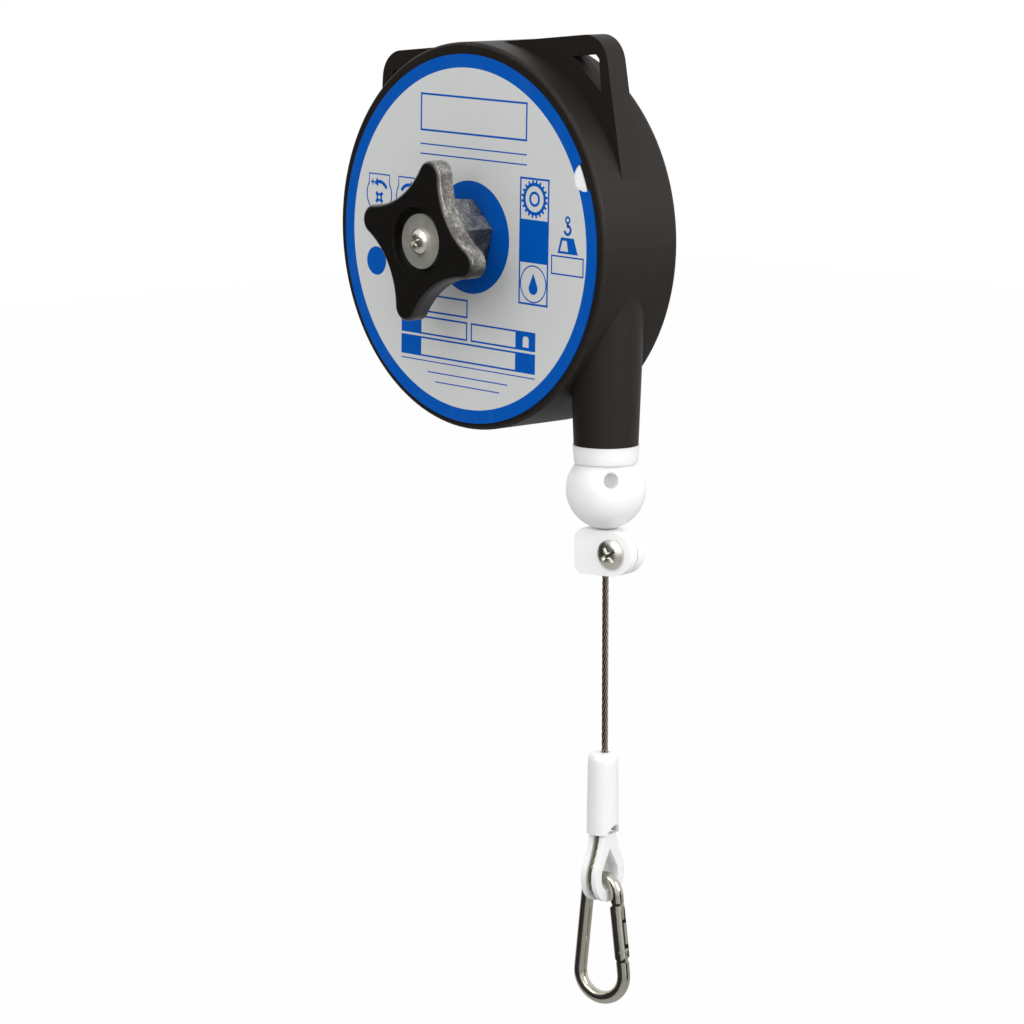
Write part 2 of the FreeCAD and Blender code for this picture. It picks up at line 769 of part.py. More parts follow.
def make_pawl():
    """Pawl on its pin, bent over one tooth with its nose in the gap behind it."""
    bottom = float(ratchet_back)
    top = float(ratchet_front)
    px, py = polar(pawl_pin_circle, float(S.pawl_pin_angle))
    nose = float(ratchet_face) + float(S.pawl_face_angle)
    next_tip = float(ratchet_face) + 360.0 / float(S.ratchet_teeth)
    over = float(S.ratchet_tip_radius)
    points = [
        polar(float(ratchet_root_radius) + float(S.pawl_nose_play), nose),
        polar(over + float(S.pawl_nose_height), nose),
        polar(float(pawl_pin_circle) + float(S.pawl_eye_radius), float(S.pawl_pin_angle)),
        polar(over + float(S.pawl_eye_play), float(S.pawl_pin_angle)),
        polar(over + float(S.pawl_tip_play), next_tip),
    ]
    shape = flat(points, bottom, top).fuse(rod(S.pawl_eye_radius, bottom, top, px, py))
    shape = shape.cut(rod(S.pawl_pin_radius + S.running_play, bottom, top, px, py))
    solid_piece("pawl", shape.removeSplitter(), DRUM_FRAME)
    pin = rod(S.pawl_pin_radius, ratchet_back, case_depth - S.pin_cap, px, py)
    solid_piece("pawl_pin", pin, DRUM_FRAME)


def knob_outline(lift):
    """Four-lobed outline: round lobes joined by hollow arcs."""
    lobe = float(S.knob_lobe_radius)
    reach = float(S.knob_lobe_circle)
    waist = float(S.knob_waist_radius)
    slim = waist - lobe
    hollow_centre = (reach ** 2 - slim ** 2) / (math.sqrt(2) * reach - 2 * slim)
    edges = []
    for number in range(4):
        angle = float(S.knob_turned) + 90 * number
        centre = Vector(*polar(reach, angle), lift)
        before = Vector(*polar(hollow_centre, angle - 45), lift)
        after = Vector(*polar(hollow_centre, angle + 45), lift)
        following = Vector(*polar(reach, angle + 90), lift)
        start = centre + (before - centre).normalize() * lobe
        tip = Vector(*polar(reach + lobe, angle), lift)
        end = centre + (after - centre).normalize() * lobe
        edges.append(Part.Arc(start, tip, end).toShape())
        middle = Vector(*polar(waist, angle + 45), lift)
        next_start = following + (after - following).normalize() * lobe
        edges.append(Part.Arc(end, middle, next_start).toShape())
    return Part.Face(Part.Wire(edges))


def make_knob():
    """Setting knob: lobed grip on a six-sided hub, with a sunk seat for its washer."""
    slab_back = float(knob_front) - float(S.knob_slab)
    grip = knob_outline(slab_back).extrude(Vector(0, 0, float(S.knob_slab)))
    rims = [edge for edge in grip.Edges
            if all(abs(v.Point.z - float(knob_front)) < 1e-4 for v in edge.Vertexes)]
    grip = grip.makeFillet(float(S.knob_edge_round), rims)
    wires = []
    hub_top = slab_back + float(S.knob_hub_sink)
    for height, radius in ((knob_back, S.knob_hub_radius), (hub_top, S.knob_hub_top_radius)):
        corners = [Vector(*polar(radius, float(S.knob_hub_turned) + 60 * number), float(height))
                   for number in range(6)]
        wires.append(Part.makePolygon(corners + corners[:1]))
    hub = Part.makeLoft(wires, True, True)
    shape = grip.fuse(hub)
    shape = shape.cut(rod(S.knob_recess_radius, recess_floor, knob_front))
    shape = shape.cut(rod(S.shaft_radius, knob_back, shaft_front))
    shape = shape.cut(rod(S.knob_screw_radius, shaft_front, recess_floor))
    solid_piece("knob", shape.removeSplitter(), DRUM_FRAME)


def make_knob_fastening():
    """Washer and domed screw that hold the knob on the shaft."""
    corners = [(S.knob_screw_radius, recess_floor), (S.washer_radius, recess_floor),
               (S.washer_radius, washer_front), (S.knob_screw_radius, washer_front)]
    register(turned_body("KnobWasher", corners), "knob_washer", DRUM_FRAME)
    shank = rod(S.knob_screw_radius, screw_tip, washer_front)
    head = dome(S.knob_screw_head_radius, S.knob_screw_head_height)
    head.translate(Vector(0, 0, float(washer_front)))
    solid_piece("knob_screw", shank.fuse(head), DRUM_FRAME)


def dome(radius, height):
    """Flat-bottomed dome on the xy plane, with a cross recess in its top."""
    radius = float(radius)
    height = float(height)
    rise = height * (1 - DOME_EDGE)
    ball = (radius ** 2 + rise ** 2) / (2 * rise)
    head = Part.makeCylinder(radius, height)
    head = head.common(Part.makeSphere(ball, Vector(0, 0, height - ball)))
    floor = height * (1 - CROSS_DEPTH)
    reach = radius * CROSS_REACH
    half = radius * CROSS_HALF_WIDTH
    for long, wide in ((reach, half), (half, reach)):
        arm = Part.makeBox(2 * long, 2 * wide, height, Vector(-long, -wide, floor))
        head = head.cut(arm)
    head.rotate(Vector(0, 0, 0), Vector(0, 0, 1), CROSS_TURNED)
    return head.removeSplitter()


def make_outlet_bush():
    """White outlet bush: stem in the tube, collar with a round seat for the ball."""
    corners = [
        (S.outlet_bore_radius, S.tube_bottom - S.outlet_stem_length),
        (S.outlet_stem_radius, S.tube_bottom - S.outlet_stem_length),
        (S.outlet_stem_radius, S.tube_bottom),
        (S.outlet_collar_radius, S.tube_bottom),
        (S.outlet_collar_end_radius, collar_bottom),
        (S.outlet_bore_radius, collar_bottom),
    ]
    body = turned_body("OutletBush", corners)
    seat = body.newObject("PartDesign::SubtractiveSphere", "BallSeat")
    seat.setExpression("Placement.Base.z", ball_centre.text)
    seat.setExpression("Radius", (S.ball_radius + S.ball_seat_play).text)
    doc.recompute()
    return register(body, "outlet_bush", LOAD_FRAME)


def make_ball():
    """Buffer ball with a bore for the rope and a blind side hole."""
    centre = float(ball_centre)
    radius = float(S.ball_radius)
    ball = Part.makeSphere(radius, Vector(0, 0, centre))
    ball = ball.cut(rod(S.rope_radius + S.ball_bore_play, centre - radius, centre + radius))
    angle = math.radians(90 + float(S.ball_hole_turned))
    direction = Vector(math.cos(angle), math.sin(angle), 0)
    start = direction * (radius - float(S.ball_hole_depth))
    start.z = centre - float(S.ball_hole_rise)
    hole = Part.makeCylinder(float(S.ball_hole_radius), radius, start, direction)
    return solid_piece("buffer_ball", ball.cut(hole), LOAD_FRAME)


def across(radius, back, front, x, height):
    """Cylinder along the screw direction of the load train."""
    base = Vector(float(x), float(back), float(height))
    return Part.makeCylinder(float(radius), float(front) - float(back), base, Vector(0, 1, 0))


def upright_plate(points, back, front):
    """Raise a closed (x, height) outline along the screw direction."""
    corners = [Vector(float(x), float(back), float(height)) for x, height in points]
    face = Part.Face(Part.makePolygon(corners + corners[:1]))
    return face.extrude(Vector(0, float(front) - float(back), 0))


def make_stop():
    """Two-part rope stop: D-shaped jaws, one screw and its nut."""
    top = float(stop_top)
    bottom = float(stop_bottom)
    middle = (top + bottom) / 2
    radius = (bottom - top) / 2
    left = -float(S.stop_left)
    x = float(S.stop_screw_offset)
    cut = float(S.stop_chamfer)
    half = float(S.stop_thickness) / 2
    split = float(S.stop_split) / 2
    points = [(x, top), (left + cut, top), (left, top + cut), (left, bottom - cut),
              (left + cut, bottom), (x, bottom)]
    rope = rod(S.rope_radius, top, bottom)
    for label, back, front in (("stop_front", split, half), ("stop_back", -half, -split)):
        jaw = upright_plate(points, back, front).fuse(across(radius, back, front, x, middle))
        jaw = jaw.cut(across(S.stop_screw_radius, back, front, x, middle)).cut(rope)
        if label == "stop_back":
            jaw = jaw.cut(stop_nut_prism(x, middle, back))
        solid_piece(label, jaw.removeSplitter(), LOAD_FRAME)
    shank = across(S.stop_screw_radius, -half, half, x, middle)
    head = dome(S.stop_screw_head_radius, S.stop_screw_head_height)
    head.Placement = Placement(Vector(x, half, middle), Rotation(Vector(1, 0, 0), -90))
    solid_piece("stop_screw", shank.fuse(head), LOAD_FRAME)
    nut = stop_nut_prism(x, middle, -half).cut(across(S.stop_screw_radius, -half, half, x, middle))
    solid_piece("stop_nut", nut, LOAD_FRAME)


def stop_nut_prism(x, middle, back):
    """Six-sided nut shape, sunk in the back jaw."""
    points = []
    for number in range(6):
        dx, dz = polar(S.stop_nut_radius, 60 * number)
        points.append((x + dx, middle + dz))
    return upright_plate(points, back, back + float(S.stop_nut_thickness))


class Loop:
    """Route of the rope round the thimble, in the plane across the hook."""

    centre = float(S.rope_radius) + float(S.running_play)
    eye = float(eye_bottom) - float(S.thimble_eye_radius)
    radius = float(S.thimble_eye_radius) + float(S.thimble_saddle) + float(S.rope_radius)
    bend = float(S.loop_bend_radius)
    leg = float(S.rope_radius) + float(S.running_play)
    drop = math.sqrt((bend + radius) ** 2 - (bend + leg) ** 2)
    start = eye - drop
    slope = math.atan2(drop, bend + leg)


def loop_edges(offset, top, close):
    """Edges of the loop, moved outwards by an offset, with legs up to two tops."""
    radius = Loop.radius + offset
    bend = Loop.bend - offset
    leg = Loop.leg + offset
    edges = []
    for side, end in ((1, top[0]), (-1, top[1])):
        centre = Vector(0, Loop.centre + side * (Loop.leg + Loop.bend), Loop.start)
        if end < Loop.start:
            foot = Vector(0, Loop.centre + side * leg, Loop.start)
            edges.append(Part.makeLine(Vector(0, foot.y, end), foot))
            first = 0.0
        else:
            first = math.asin((end - Loop.start) / bend)
        points = []
        for angle in (first, (first + Loop.slope) / 2, Loop.slope):
            shift = Vector(0, -side * bend * math.cos(angle), bend * math.sin(angle))
            points.append(centre + shift)
        edges.append(Part.Arc(*points).toShape())
        if side == 1:
            right = points[2]
            right_top = edges[0].Vertexes[0].Point
        else:
            left = points[2]
            left_top = edges[-2].Vertexes[0].Point if end < Loop.start else points[0]
    bottom = Vector(0, Loop.centre, Loop.eye + radius)
    edges.append(Part.Arc(right, bottom, left).toShape())
    if close:
        edges.append(Part.makeLine(right_top, left_top))
    return edges


def teardrop(offset, top, thickness):
    """Plate with the outline of the loop, centred on the hook plane."""
    wire = Part.Wire(Part.__sortEdges__(loop_edges(offset, (top, top), True)))
    face = Part.Face(wire)
    face.translate(Vector(-thickness / 2, 0, 0))
    return face.extrude(Vector(thickness, 0, 0))


def make_thimble():
    """Grooved thimble that carries the rope loop."""
    eye_radius = float(S.thimble_eye_radius)
    outer = float(S.thimble_band) - float(S.thimble_saddle) - float(S.rope_radius)
    thickness = float(S.thimble_thickness)
    groove = 2 * (float(S.rope_radius) + float(S.running_play))
    saddle = -(float(S.rope_radius) + float(S.running_play))
    top = float(thimble_top)
    shape = teardrop(outer, top, thickness)
    saddle_top = max(top, Loop.start + float(S.thimble_saddle_start))
    channel = teardrop(outer, top, groove).cut(teardrop(saddle, saddle_top, groove))
    shape = shape.cut(channel)
    apex = Loop.eye - eye_radius - float(S.thimble_eye_peak)
    lean = math.acos(eye_radius / (Loop.eye - apex))
    corners = [Vector(-thickness, Loop.centre, apex)]
    for side in (1, -1):
        corners.append(Vector(-thickness, Loop.centre + side * eye_radius * math.sin(lean),
                              Loop.eye - eye_radius * math.cos(lean)))
    peak = Part.Face(Part.makePolygon(corners + corners[:1])).extrude(Vector(2 * thickness, 0, 0))
    hole = Part.makeCylinder(eye_radius, 2 * thickness,
                             Vector(-thickness, Loop.centre, Loop.eye), Vector(1, 0, 0))
    shape = shape.cut(peak.fuse(hole))
    return solid_piece("thimble", shape.removeSplitter(), LOAD_FRAME)


def make_lower_rope():
    """Rope from the stop round the thimble and back into the ferrule."""
    tops = (float(ferrule_top) + float(S.rope_radius), float(stop_top))
    edges = Part.__sortEdges__(loop_edges(0.0, tops, False))
    wire = Part.Wire(edges)
    start = wire.Vertexes[0].Point
    circle = Part.makeCircle(float(S.rope_radius), start, Vector(0, 0, 1))
    shape = wire.makePipeShell([Part.Wire([circle])], True, True)
    return solid_piece("lower_rope", shape, LOAD_FRAME)


def make_upper_rope():
    """Rope between the drum and the stop, which pays out as the load goes down."""
    shape = rod(S.rope_radius, 0, stop_top)
    return solid_piece("upper_rope", shape, LOAD_FRAME)


def make_sleeve():
    """Sleeve that hides the ferrule, and the crimped ferrule in it."""
    top = float(sleeve_top)
    bottom = float(sleeve_bottom)
    wide = float(S.sleeve_bottom_radius)
    narrow = float(S.sleeve_top_radius)
    wall = float(S.sleeve_wall)
    curve = float(S.sleeve_dome)
    shape = turned([(0, top), (narrow - curve, top), (narrow - 0.3 * curve, top + 0.3 * curve),
                    (narrow, top + curve), (wide, bottom), (wide - wall, bottom),
                    (narrow - wall, top + curve + wall), (0, top + curve + wall)])
    shape.translate(Vector(0, Loop.centre, 0))
    inside = top + curve + wall
    shape = shape.cut(rod(S.rope_radius + S.ball_bore_play, top, inside))
    arch = Part.makeCylinder(float(S.sleeve_arch_radius), 4 * wide,
                             Vector(-2 * wide, Loop.centre, bottom), Vector(1, 0, 0))
    solid_piece("sleeve", shape.cut(arch), LOAD_FRAME)
    ferrule = rod(S.ferrule_radius, ferrule_top, ferrule_bottom, 0, Loop.centre)
    for y in (0, 2 * Loop.centre):
        ferrule = ferrule.cut(rod(S.rope_radius, ferrule_top, ferrule_bottom, 0, y))
    solid_piece("ferrule", ferrule, LOAD_FRAME)


class Hook:
    """Route of the hook wire, in the plane of the hook."""

    wire = float(S.hook_wire_radius)
    small = float(S.hook_top_radius)
    large = float(S.hook_bottom_radius)
    top = float(hook_top) + wire + small
    bottom = float(hook_bottom) - wire - large
    up = (large - small) / (bottom - top)
    out = math.sqrt(1 - up ** 2)


def hook_side(height):
    """Distance of the straight sides from the middle at a height."""
    return (Hook.large - Hook.up * (Hook.bottom - height)) / Hook.out


def make_hook():
    """Snap hook body: bent wire with flattened ends for the gate."""
    y = Loop.centre
    wire = Hook.wire

    def spot(side, centre, radius):
        """Tangent point of a straight side on one of the two bends."""
        return Vector(side * radius * Hook.out, y, centre - radius * Hook.up)

    seat = float(gate_pivot) + float(S.hook_seat_height)
    nose = float(beak_tip)
    lap = float(S.hook_lap)
    flat_half = float(S.hook_flat)
    start = Vector(hook_side(seat), y, seat)
    low_right = spot(1, Hook.bottom, Hook.large)
    low_left = spot(-1, Hook.bottom, Hook.large)
    high_left = spot(-1, Hook.top, Hook.small)
    high_right = spot(1, Hook.top, Hook.small)
    end = Vector(hook_side(nose), y, nose)
    path = Part.Wire([
        Part.makeLine(start, low_right),
        Part.Arc(low_right, Vector(0, y, Hook.bottom + Hook.large), low_left).toShape(),
        Part.makeLine(low_left, high_left),
        Part.Arc(high_left, Vector(0, y, Hook.top - Hook.small), high_right).toShape(),
        Part.makeLine(high_right, end),
    ])
    circle = Part.makeCircle(wire, start, low_right - start)
    shape = path.makePipeShell([Part.Wire([circle])], True, True)
    tongue = float(S.gate_slot) / 2 - float(S.gate_tongue_play)
    pivot_x = hook_side(float(gate_pivot))
    pivot_z = float(gate_pivot)
    foot = upright_plate([(pivot_x - flat_half, pivot_z), (pivot_x + flat_half, pivot_z),
                          (start.x + flat_half, seat + lap), (start.x - flat_half, seat + lap)],
                         y - tongue, y + tongue)
    foot = foot.fuse(across(flat_half, y - tongue, y + tongue, pivot_x, pivot_z))
    foot = foot.cut(across(S.gate_pin_radius, y - wire, y + wire, pivot_x, pivot_z))
    pin_z = nose + float(S.gate_latch_drop)
    pin_x = end.x + float(S.gate_latch_shift)
    inner = end.x - flat_half
    outer = end.x + flat_half
    tip = nose + float(S.hook_beak_length)
    lean = hook_side(tip) - end.x
    beak = upright_plate([(inner, nose - lap), (outer, nose - lap), (outer + lean, tip),
                          (inner + lean, tip)], y - tongue, y + tongue)
    throat = float(S.gate_pin_radius) + float(S.gate_play)
    notch = upright_plate([(inner - wire, pin_z - throat), (pin_x, pin_z - throat),
                           (pin_x, pin_z + throat), (inner - wire, pin_z + throat)],
                          y - wire, y + wire)
    notch = notch.fuse(across(throat, y - wire, y + wire, pin_x, pin_z))
    shape = shape.fuse(foot).fuse(beak.cut(notch))
    solid_piece("hook", shape, LOAD_FRAME)
    reach = wire + float(S.gate_pin_head)
    pin = across(S.gate_pin_radius, y - reach, y + reach, pivot_x, pivot_z)
    solid_piece("gate_pivot_pin", pin, LOAD_FRAME)
    make_gate(Vector(pivot_x, y, pivot_z), Vector(pin_x, y, pin_z))


def make_gate(pivot, latch):
    """Forked gate with its latch pin and its hidden spring."""
    wire = Hook.wire
    radius = wire + float(S.gate_wall)
    along = (latch - pivot).normalize()
    shape = Part.makeCylinder(radius, (latch - pivot).Length, pivot, along)
    shape = shape.fuse(across(radius, pivot.y - radius, pivot.y + radius, pivot.x, pivot.z)
                       .common(thick_bar(pivot, along, radius)))
    shape = shape.fuse(across(radius, latch.y - radius, latch.y + radius, latch.x, latch.z)
                       .common(thick_bar(latch, along, radius)))
    slot = float(S.gate_slot) / 2
    reach = float(S.gate_fork_reach)
    length = float(S.hook_length) / 2
    for place, low in ((pivot, pivot.z - reach), (latch, latch.z + reach - length)):
        corner = Vector(place.x - length / 2, place.y - slot, low)
        shape = shape.cut(Part.makeBox(length, 2 * slot, length, corner))
    play = float(S.gate_pin_radius) + float(S.running_play)
    shape = shape.cut(across(play, pivot.y - radius, pivot.y + radius, pivot.x, pivot.z))
    pin_hole = across(S.gate_pin_radius, latch.y - radius, latch.y + radius, latch.x, latch.z)
    shape = shape.cut(pin_hole)
    solid_piece("gate", shape, LOAD_FRAME)
    solid_piece("gate_latch_pin", pin_hole, LOAD_FRAME)


def thick_bar(place, along, radius):
    """Round bar through a point, used to round the gate's ends."""
    return Part.makeCylinder(radius, 4 * radius, place - along * (2 * radius), along)


make_case()
make_front_cover()
make_label()
make_cover_screws()
make_bushes()
make_drum()
make_wound_rope()
make_power_spring()
make_shaft()
make_ratchet()
make_pawl()
make_knob()
make_knob_fastening()
make_outlet_bush()
make_ball()
make_stop()
make_upper_rope()
make_lower_rope()
make_thimble()
make_sleeve()
make_hook()

doc.recompute()
for item in doc.Objects:
    if "Invalid" in item.State or "Error" in item.State:
        raise ValueError("failed: " + item.Name)
for item in PIECES:
    if item.Shape.isNull() or not item.Shape.isValid():
        raise ValueError("bad shape: " + item.Label)
    print(item.Label, len(item.Shape.Solids), round(item.Shape.Volume, 1))
for item in PIECES:
    item.Shape.exportStep("parts/%s.step" % item.Label)
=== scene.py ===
"""Dresses a spring tool balancer: moulded case, printed label, laid wire rope and bright hook."""

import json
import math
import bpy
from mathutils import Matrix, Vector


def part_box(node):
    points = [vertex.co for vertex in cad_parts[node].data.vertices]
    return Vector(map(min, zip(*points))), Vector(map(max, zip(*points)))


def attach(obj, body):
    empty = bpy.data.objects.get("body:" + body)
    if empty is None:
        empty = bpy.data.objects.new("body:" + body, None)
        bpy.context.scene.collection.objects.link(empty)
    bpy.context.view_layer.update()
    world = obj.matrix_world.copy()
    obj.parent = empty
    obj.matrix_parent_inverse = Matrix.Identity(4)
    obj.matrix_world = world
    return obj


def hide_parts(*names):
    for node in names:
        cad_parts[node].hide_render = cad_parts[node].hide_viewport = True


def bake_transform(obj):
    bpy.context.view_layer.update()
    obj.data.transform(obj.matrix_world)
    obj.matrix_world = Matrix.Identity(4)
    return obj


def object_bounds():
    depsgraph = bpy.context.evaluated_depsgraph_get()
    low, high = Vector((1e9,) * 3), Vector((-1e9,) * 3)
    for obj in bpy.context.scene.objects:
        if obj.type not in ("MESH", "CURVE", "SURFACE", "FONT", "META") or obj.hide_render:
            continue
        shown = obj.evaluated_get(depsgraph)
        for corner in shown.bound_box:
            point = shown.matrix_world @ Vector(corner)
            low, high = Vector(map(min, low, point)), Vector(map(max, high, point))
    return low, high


bl_info = {
    "name": "Tool Balancer",
    "version": (1, 0, 0),
    "blender": (4, 5, 0),
    "location": "View3D > Sidebar > Tool Balancer",
    "description": "Finishes, label print, laid rope and studio for a spring tool balancer",
    "category": "Object",
}

import bmesh
import bpy
from bpy.props import FloatProperty, FloatVectorProperty, IntProperty, PointerProperty
from mathutils import Matrix, Vector

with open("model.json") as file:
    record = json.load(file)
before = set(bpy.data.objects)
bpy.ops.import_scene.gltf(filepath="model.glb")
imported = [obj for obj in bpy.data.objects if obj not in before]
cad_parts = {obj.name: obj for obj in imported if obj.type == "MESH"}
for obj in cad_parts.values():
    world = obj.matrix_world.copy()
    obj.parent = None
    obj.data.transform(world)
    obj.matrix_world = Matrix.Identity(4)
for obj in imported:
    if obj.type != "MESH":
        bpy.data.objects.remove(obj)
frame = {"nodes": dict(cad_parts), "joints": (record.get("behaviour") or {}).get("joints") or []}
CAD_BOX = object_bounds()
CAD_NODES = frame["nodes"]
MM = 0.001

# The knob's sunk seat, just clear of its wall.
KNOB_RECESS = 10.6 * MM

# The label's face, and the middle of its print beside and above the drum's axis, in millimetres.
LABEL_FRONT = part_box("label")[0].y
LABEL_CENTRE = (0.0, -0.8)
HUB_RISE = 0.9
PRINT_DEPTH = 0.03

# Waves per metre of the fine rings that turning leaves on a metal face.
TURNED_RINGS = 9000.0

# The rope hangs from here. Drops are measured down from the drum's axis, in millimetres.
ROPE_TOP = Vector((45.5, -17.0, 0.0)) * MM
CLAMP_DROP = 85.9
FERRULE_DROP = 159.5

# The hook and thimble hang a little turned: across their loop, and out of it towards the front.
TWIST = math.radians(13.6)
SWIVEL = Vector((math.cos(TWIST), math.sin(TWIST), 0.0))
FORWARD = Vector((math.sin(TWIST), -math.cos(TWIST), 0.0))

# Shares of the rope's radius: to the middle of an outer strand, and a strand's own radius.
STRAND_REACH = 2.0 / 3.0
STRAND_RADIUS = 0.335

# The floor lies below the hook at full travel.
TRAVEL = max(joint["range_m"][1] for joint in frame["joints"] if joint.get("range_m"))
FLOOR_LEVEL = CAD_BOX[0].z - TRAVEL - 0.1
FLOOR_REACH = 14.0
WHITE = (1.0, 1.0, 1.0, 1.0)


def colour(name, description, default):
    """A colour that a user can change."""
    return FloatVectorProperty(
        name=name,
        description=description,
        default=default,
        size=3,
        min=0.0,
        max=1.0,
        subtype="COLOR",
    )


def length(name, description, default):
    """A size in millimetres that a user can change."""
    return FloatProperty(name=name, description=description, default=default, min=0.0)


class BalancerFinishes(bpy.types.PropertyGroup):
    """Colours of the balancer's finishes."""

    case: colour("Case", "Moulded case", (0.0125, 0.0096, 0.0078))
    knob: colour("Knob", "Glossy moulded knob", (0.0050, 0.0044, 0.0036))
    white: colour("White parts", "Natural nylon", (0.94, 0.94, 0.935))
    field: colour("Label field", "Grey field of the label", (0.592, 0.602, 0.598))
    ink: colour("Label ink", "Blue ink of the label", (0.0, 0.086, 0.430))
    zinc: colour("Zinc plate", "Plated screws and washer", (0.72, 0.71, 0.64))
    hook: colour("Hook", "Bright drawn hook wire", (0.54, 0.52, 0.45))
    rope: colour("Rope", "Steel wire of the rope", (0.36, 0.32, 0.25))
    spring: colour("Spring", "Tempered spring strip", (0.16, 0.18, 0.24))
    bronze: colour("Bushes", "Sintered bronze", (0.52, 0.36, 0.17))
    drum: colour("Drum", "Turned aluminium", (0.62, 0.63, 0.64))


class BalancerRope(bpy.types.PropertyGroup):
    """Sizes of the laid rope."""

    radius: length("Rope radius", "Radius over the strands, mm", 1.0)
    lay: length("Lay", "Length in which a strand goes round once, mm", 13.5)
    step: length("Step", "Distance between the rings of a strand, mm", 0.45)
    strands: IntProperty(name="Strands", description="Outer strands", default=6, min=3)
    sides: IntProperty(name="Sides", description="Faces round a strand", default=8, min=4)


class BalancerLabel(bpy.types.PropertyGroup):
    """Sizes of the printed label."""

    rim: length("Rim", "Inner radius of the outer ring, mm", 52.1)
    hub: length("Hub", "Radius of the disc behind the knob, mm", 17.2)
    hub_shift: length("Hub shift", "How far that disc lies to the right, mm", 1.7)
    line: length("Line", "Width of a printed line, mm", 0.55)
    turned: FloatProperty(
        name="Turned",
        description="Angle by which the print sits askew",
        default=math.radians(-1.3),
        subtype="ANGLE",
    )


class BalancerStudio(bpy.types.PropertyGroup):
    """Light and camera."""

    ambient: FloatProperty(name="Ambient", description="Level of the room", default=0.74, min=0)
    key: FloatProperty(name="Key", description="Main lamp", default=8.6, min=0, unit="POWER")
    fill: FloatProperty(name="Fill", description="Side lamp", default=7.0, min=0, unit="POWER")


class Link:
    """An output socket of a node, on which sums are written as on a number."""

    def __init__(self, nodes, socket):
        self.nodes = nodes
        self.socket = socket

    def output(self, name):
        """Another output of the same node."""
        return Link(self.nodes, self.socket.node.outputs[name])

    def __add__(self, other):
        return self.nodes.sum("ADD", self, other)

    def __radd__(self, other):
        return self.nodes.sum("ADD", other, self)

    def __sub__(self, other):
        return self.nodes.sum("SUBTRACT", self, other)

    def __rsub__(self, other):
        return self.nodes.sum("SUBTRACT", other, self)

    def __mul__(self, other):
        return self.nodes.sum("MULTIPLY", self, other)

    def __rmul__(self, other):
        return self.nodes.sum("MULTIPLY", other, self)

    def __truediv__(self, other):
        return self.nodes.sum("DIVIDE", self, other)

    def __pow__(self, other):
        return self.nodes.sum("POWER", self, other)

    def __gt__(self, other):
        return self.nodes.sum("GREATER_THAN", self, other)

    def __lt__(self, other):
        return self.nodes.sum("LESS_THAN", self, other)

    def __or__(self, other):
        return self.nodes.sum("MAXIMUM", self, other)


class Nodes:
    """A tree of nodes that all come from one method."""

    def __init__(self, tree):
        self.tree = tree
        tree.nodes.clear()

    def node(self, kind, settings=None, sockets=None, output=0):
        """Makes a node: its settings first, then the value, link or links of each socket."""
        made = self.tree.nodes.new(kind)
        for name, value in (settings or {}).items():
            if name == "stops":
                self.set_stops(made.color_ramp, value)
            else:
                setattr(made, name, value)
        for key, given in (sockets or {}).items():
            for value in given if isinstance(given, list) else [given]:
                if isinstance(value, Link):
                    self.tree.links.new(value.socket, made.inputs[key])
                else:
                    made.inputs[key].default_value = value
        return Link(self, made.outputs[output]) if len(made.outputs) else None

    def set_stops(self, ramp, stops):
        """Gives a ramp its stops, each a place and a shade."""
        while len(ramp.elements) < len(stops):
            ramp.elements.new(1.0)
        for element, (place, shade) in zip(ramp.elements, stops):
            element.position = place
            element.color = (shade, shade, shade, 1.0)

    def sum(self, operation, first, second):
        """One sum of two links or numbers."""
        return self.node("ShaderNodeMath", {"operation": operation}, {0: first, 1: second})


class Finish(Nodes):
    """A material in one shader."""

    def __init__(self, name):
        self.material = bpy.data.materials.new(name)
        self.material.use_nodes = True
        super().__init__(self.material.node_tree)

    def place(self):
        """The point on the object, in metres."""
        return self.node("ShaderNodeTexCoord", output="Object")

    def stretched(self, scale):
        """The point on the object, after a stretch."""
        sockets = {"Vector": self.place(), "Scale": scale}
        return self.node("ShaderNodeMapping", {"vector_type": "POINT"}, sockets)

    def parts(self, vector):
        """The three parts of a vector."""
        split = self.node("ShaderNodeSeparateXYZ", None, {0: vector})
        return [split.output(axis) for axis in "XYZ"]

    def radius(self):
        """The distance from the drum's axis, in metres."""
        across, _, up = self.parts(self.place())
        return (across**2.0 + up**2.0) ** 0.5

    def noise(self, size, detail=3.0, vector=None, rough=0.55):
        """Cloudy noise from 0 to 1, whose patches are about size millimetres across."""
        return self.node(
            "ShaderNodeTexNoise",
            {"noise_dimensions": "3D"},
            {
                "Vector": vector or self.place(),
                "Scale": 1.0 / (size * MM),
                "Detail": detail,
                "Roughness": rough,
            },
        )

    def ramp(self, value, *stops):
        """A number led through places and shades."""
        return self.node("ShaderNodeValToRGB", {"stops": stops}, {"Fac": value})

    def tint(self, factor, first, second):
        """From the first colour to the second as factor goes from 0 to 1."""
        return self.node(
            "ShaderNodeMix",
            {"data_type": "RGBA", "clamp_factor": True},
            {0: factor, 6: rgba(first), 7: rgba(second)},
            output=2,
        )

    def relief(self, height, depth, strength=1.0, under=None):
        """Bumps that are depth millimetres deep."""
        sockets = {"Strength": strength, "Distance": depth * MM, "Height": height}
        if under is not None:
            sockets["Normal"] = under
        return self.node("ShaderNodeBump", None, sockets)

    def surface(self, **sockets):
        """Ends the material in one shader, with words for its sockets' names."""
        named = {word.replace("_", " "): value for word, value in sockets.items()}
        shader = self.node(
            "ShaderNodeBsdfPrincipled",
            None,
            {key: rgba(value) if key == "Base Color" else value for key, value in named.items()},
        )
        self.node("ShaderNodeOutputMaterial", None, {"Surface": shader})
        return self.material


def rgba(value):
    """A colour with its alpha; a link stays as it is."""
    return value if isinstance(value, Link) else (*tuple(value)[:3], 1.0)


def shade(value, by):
    """A colour made lighter or darker."""
    return tuple(min(1.0, part * by) for part in value)


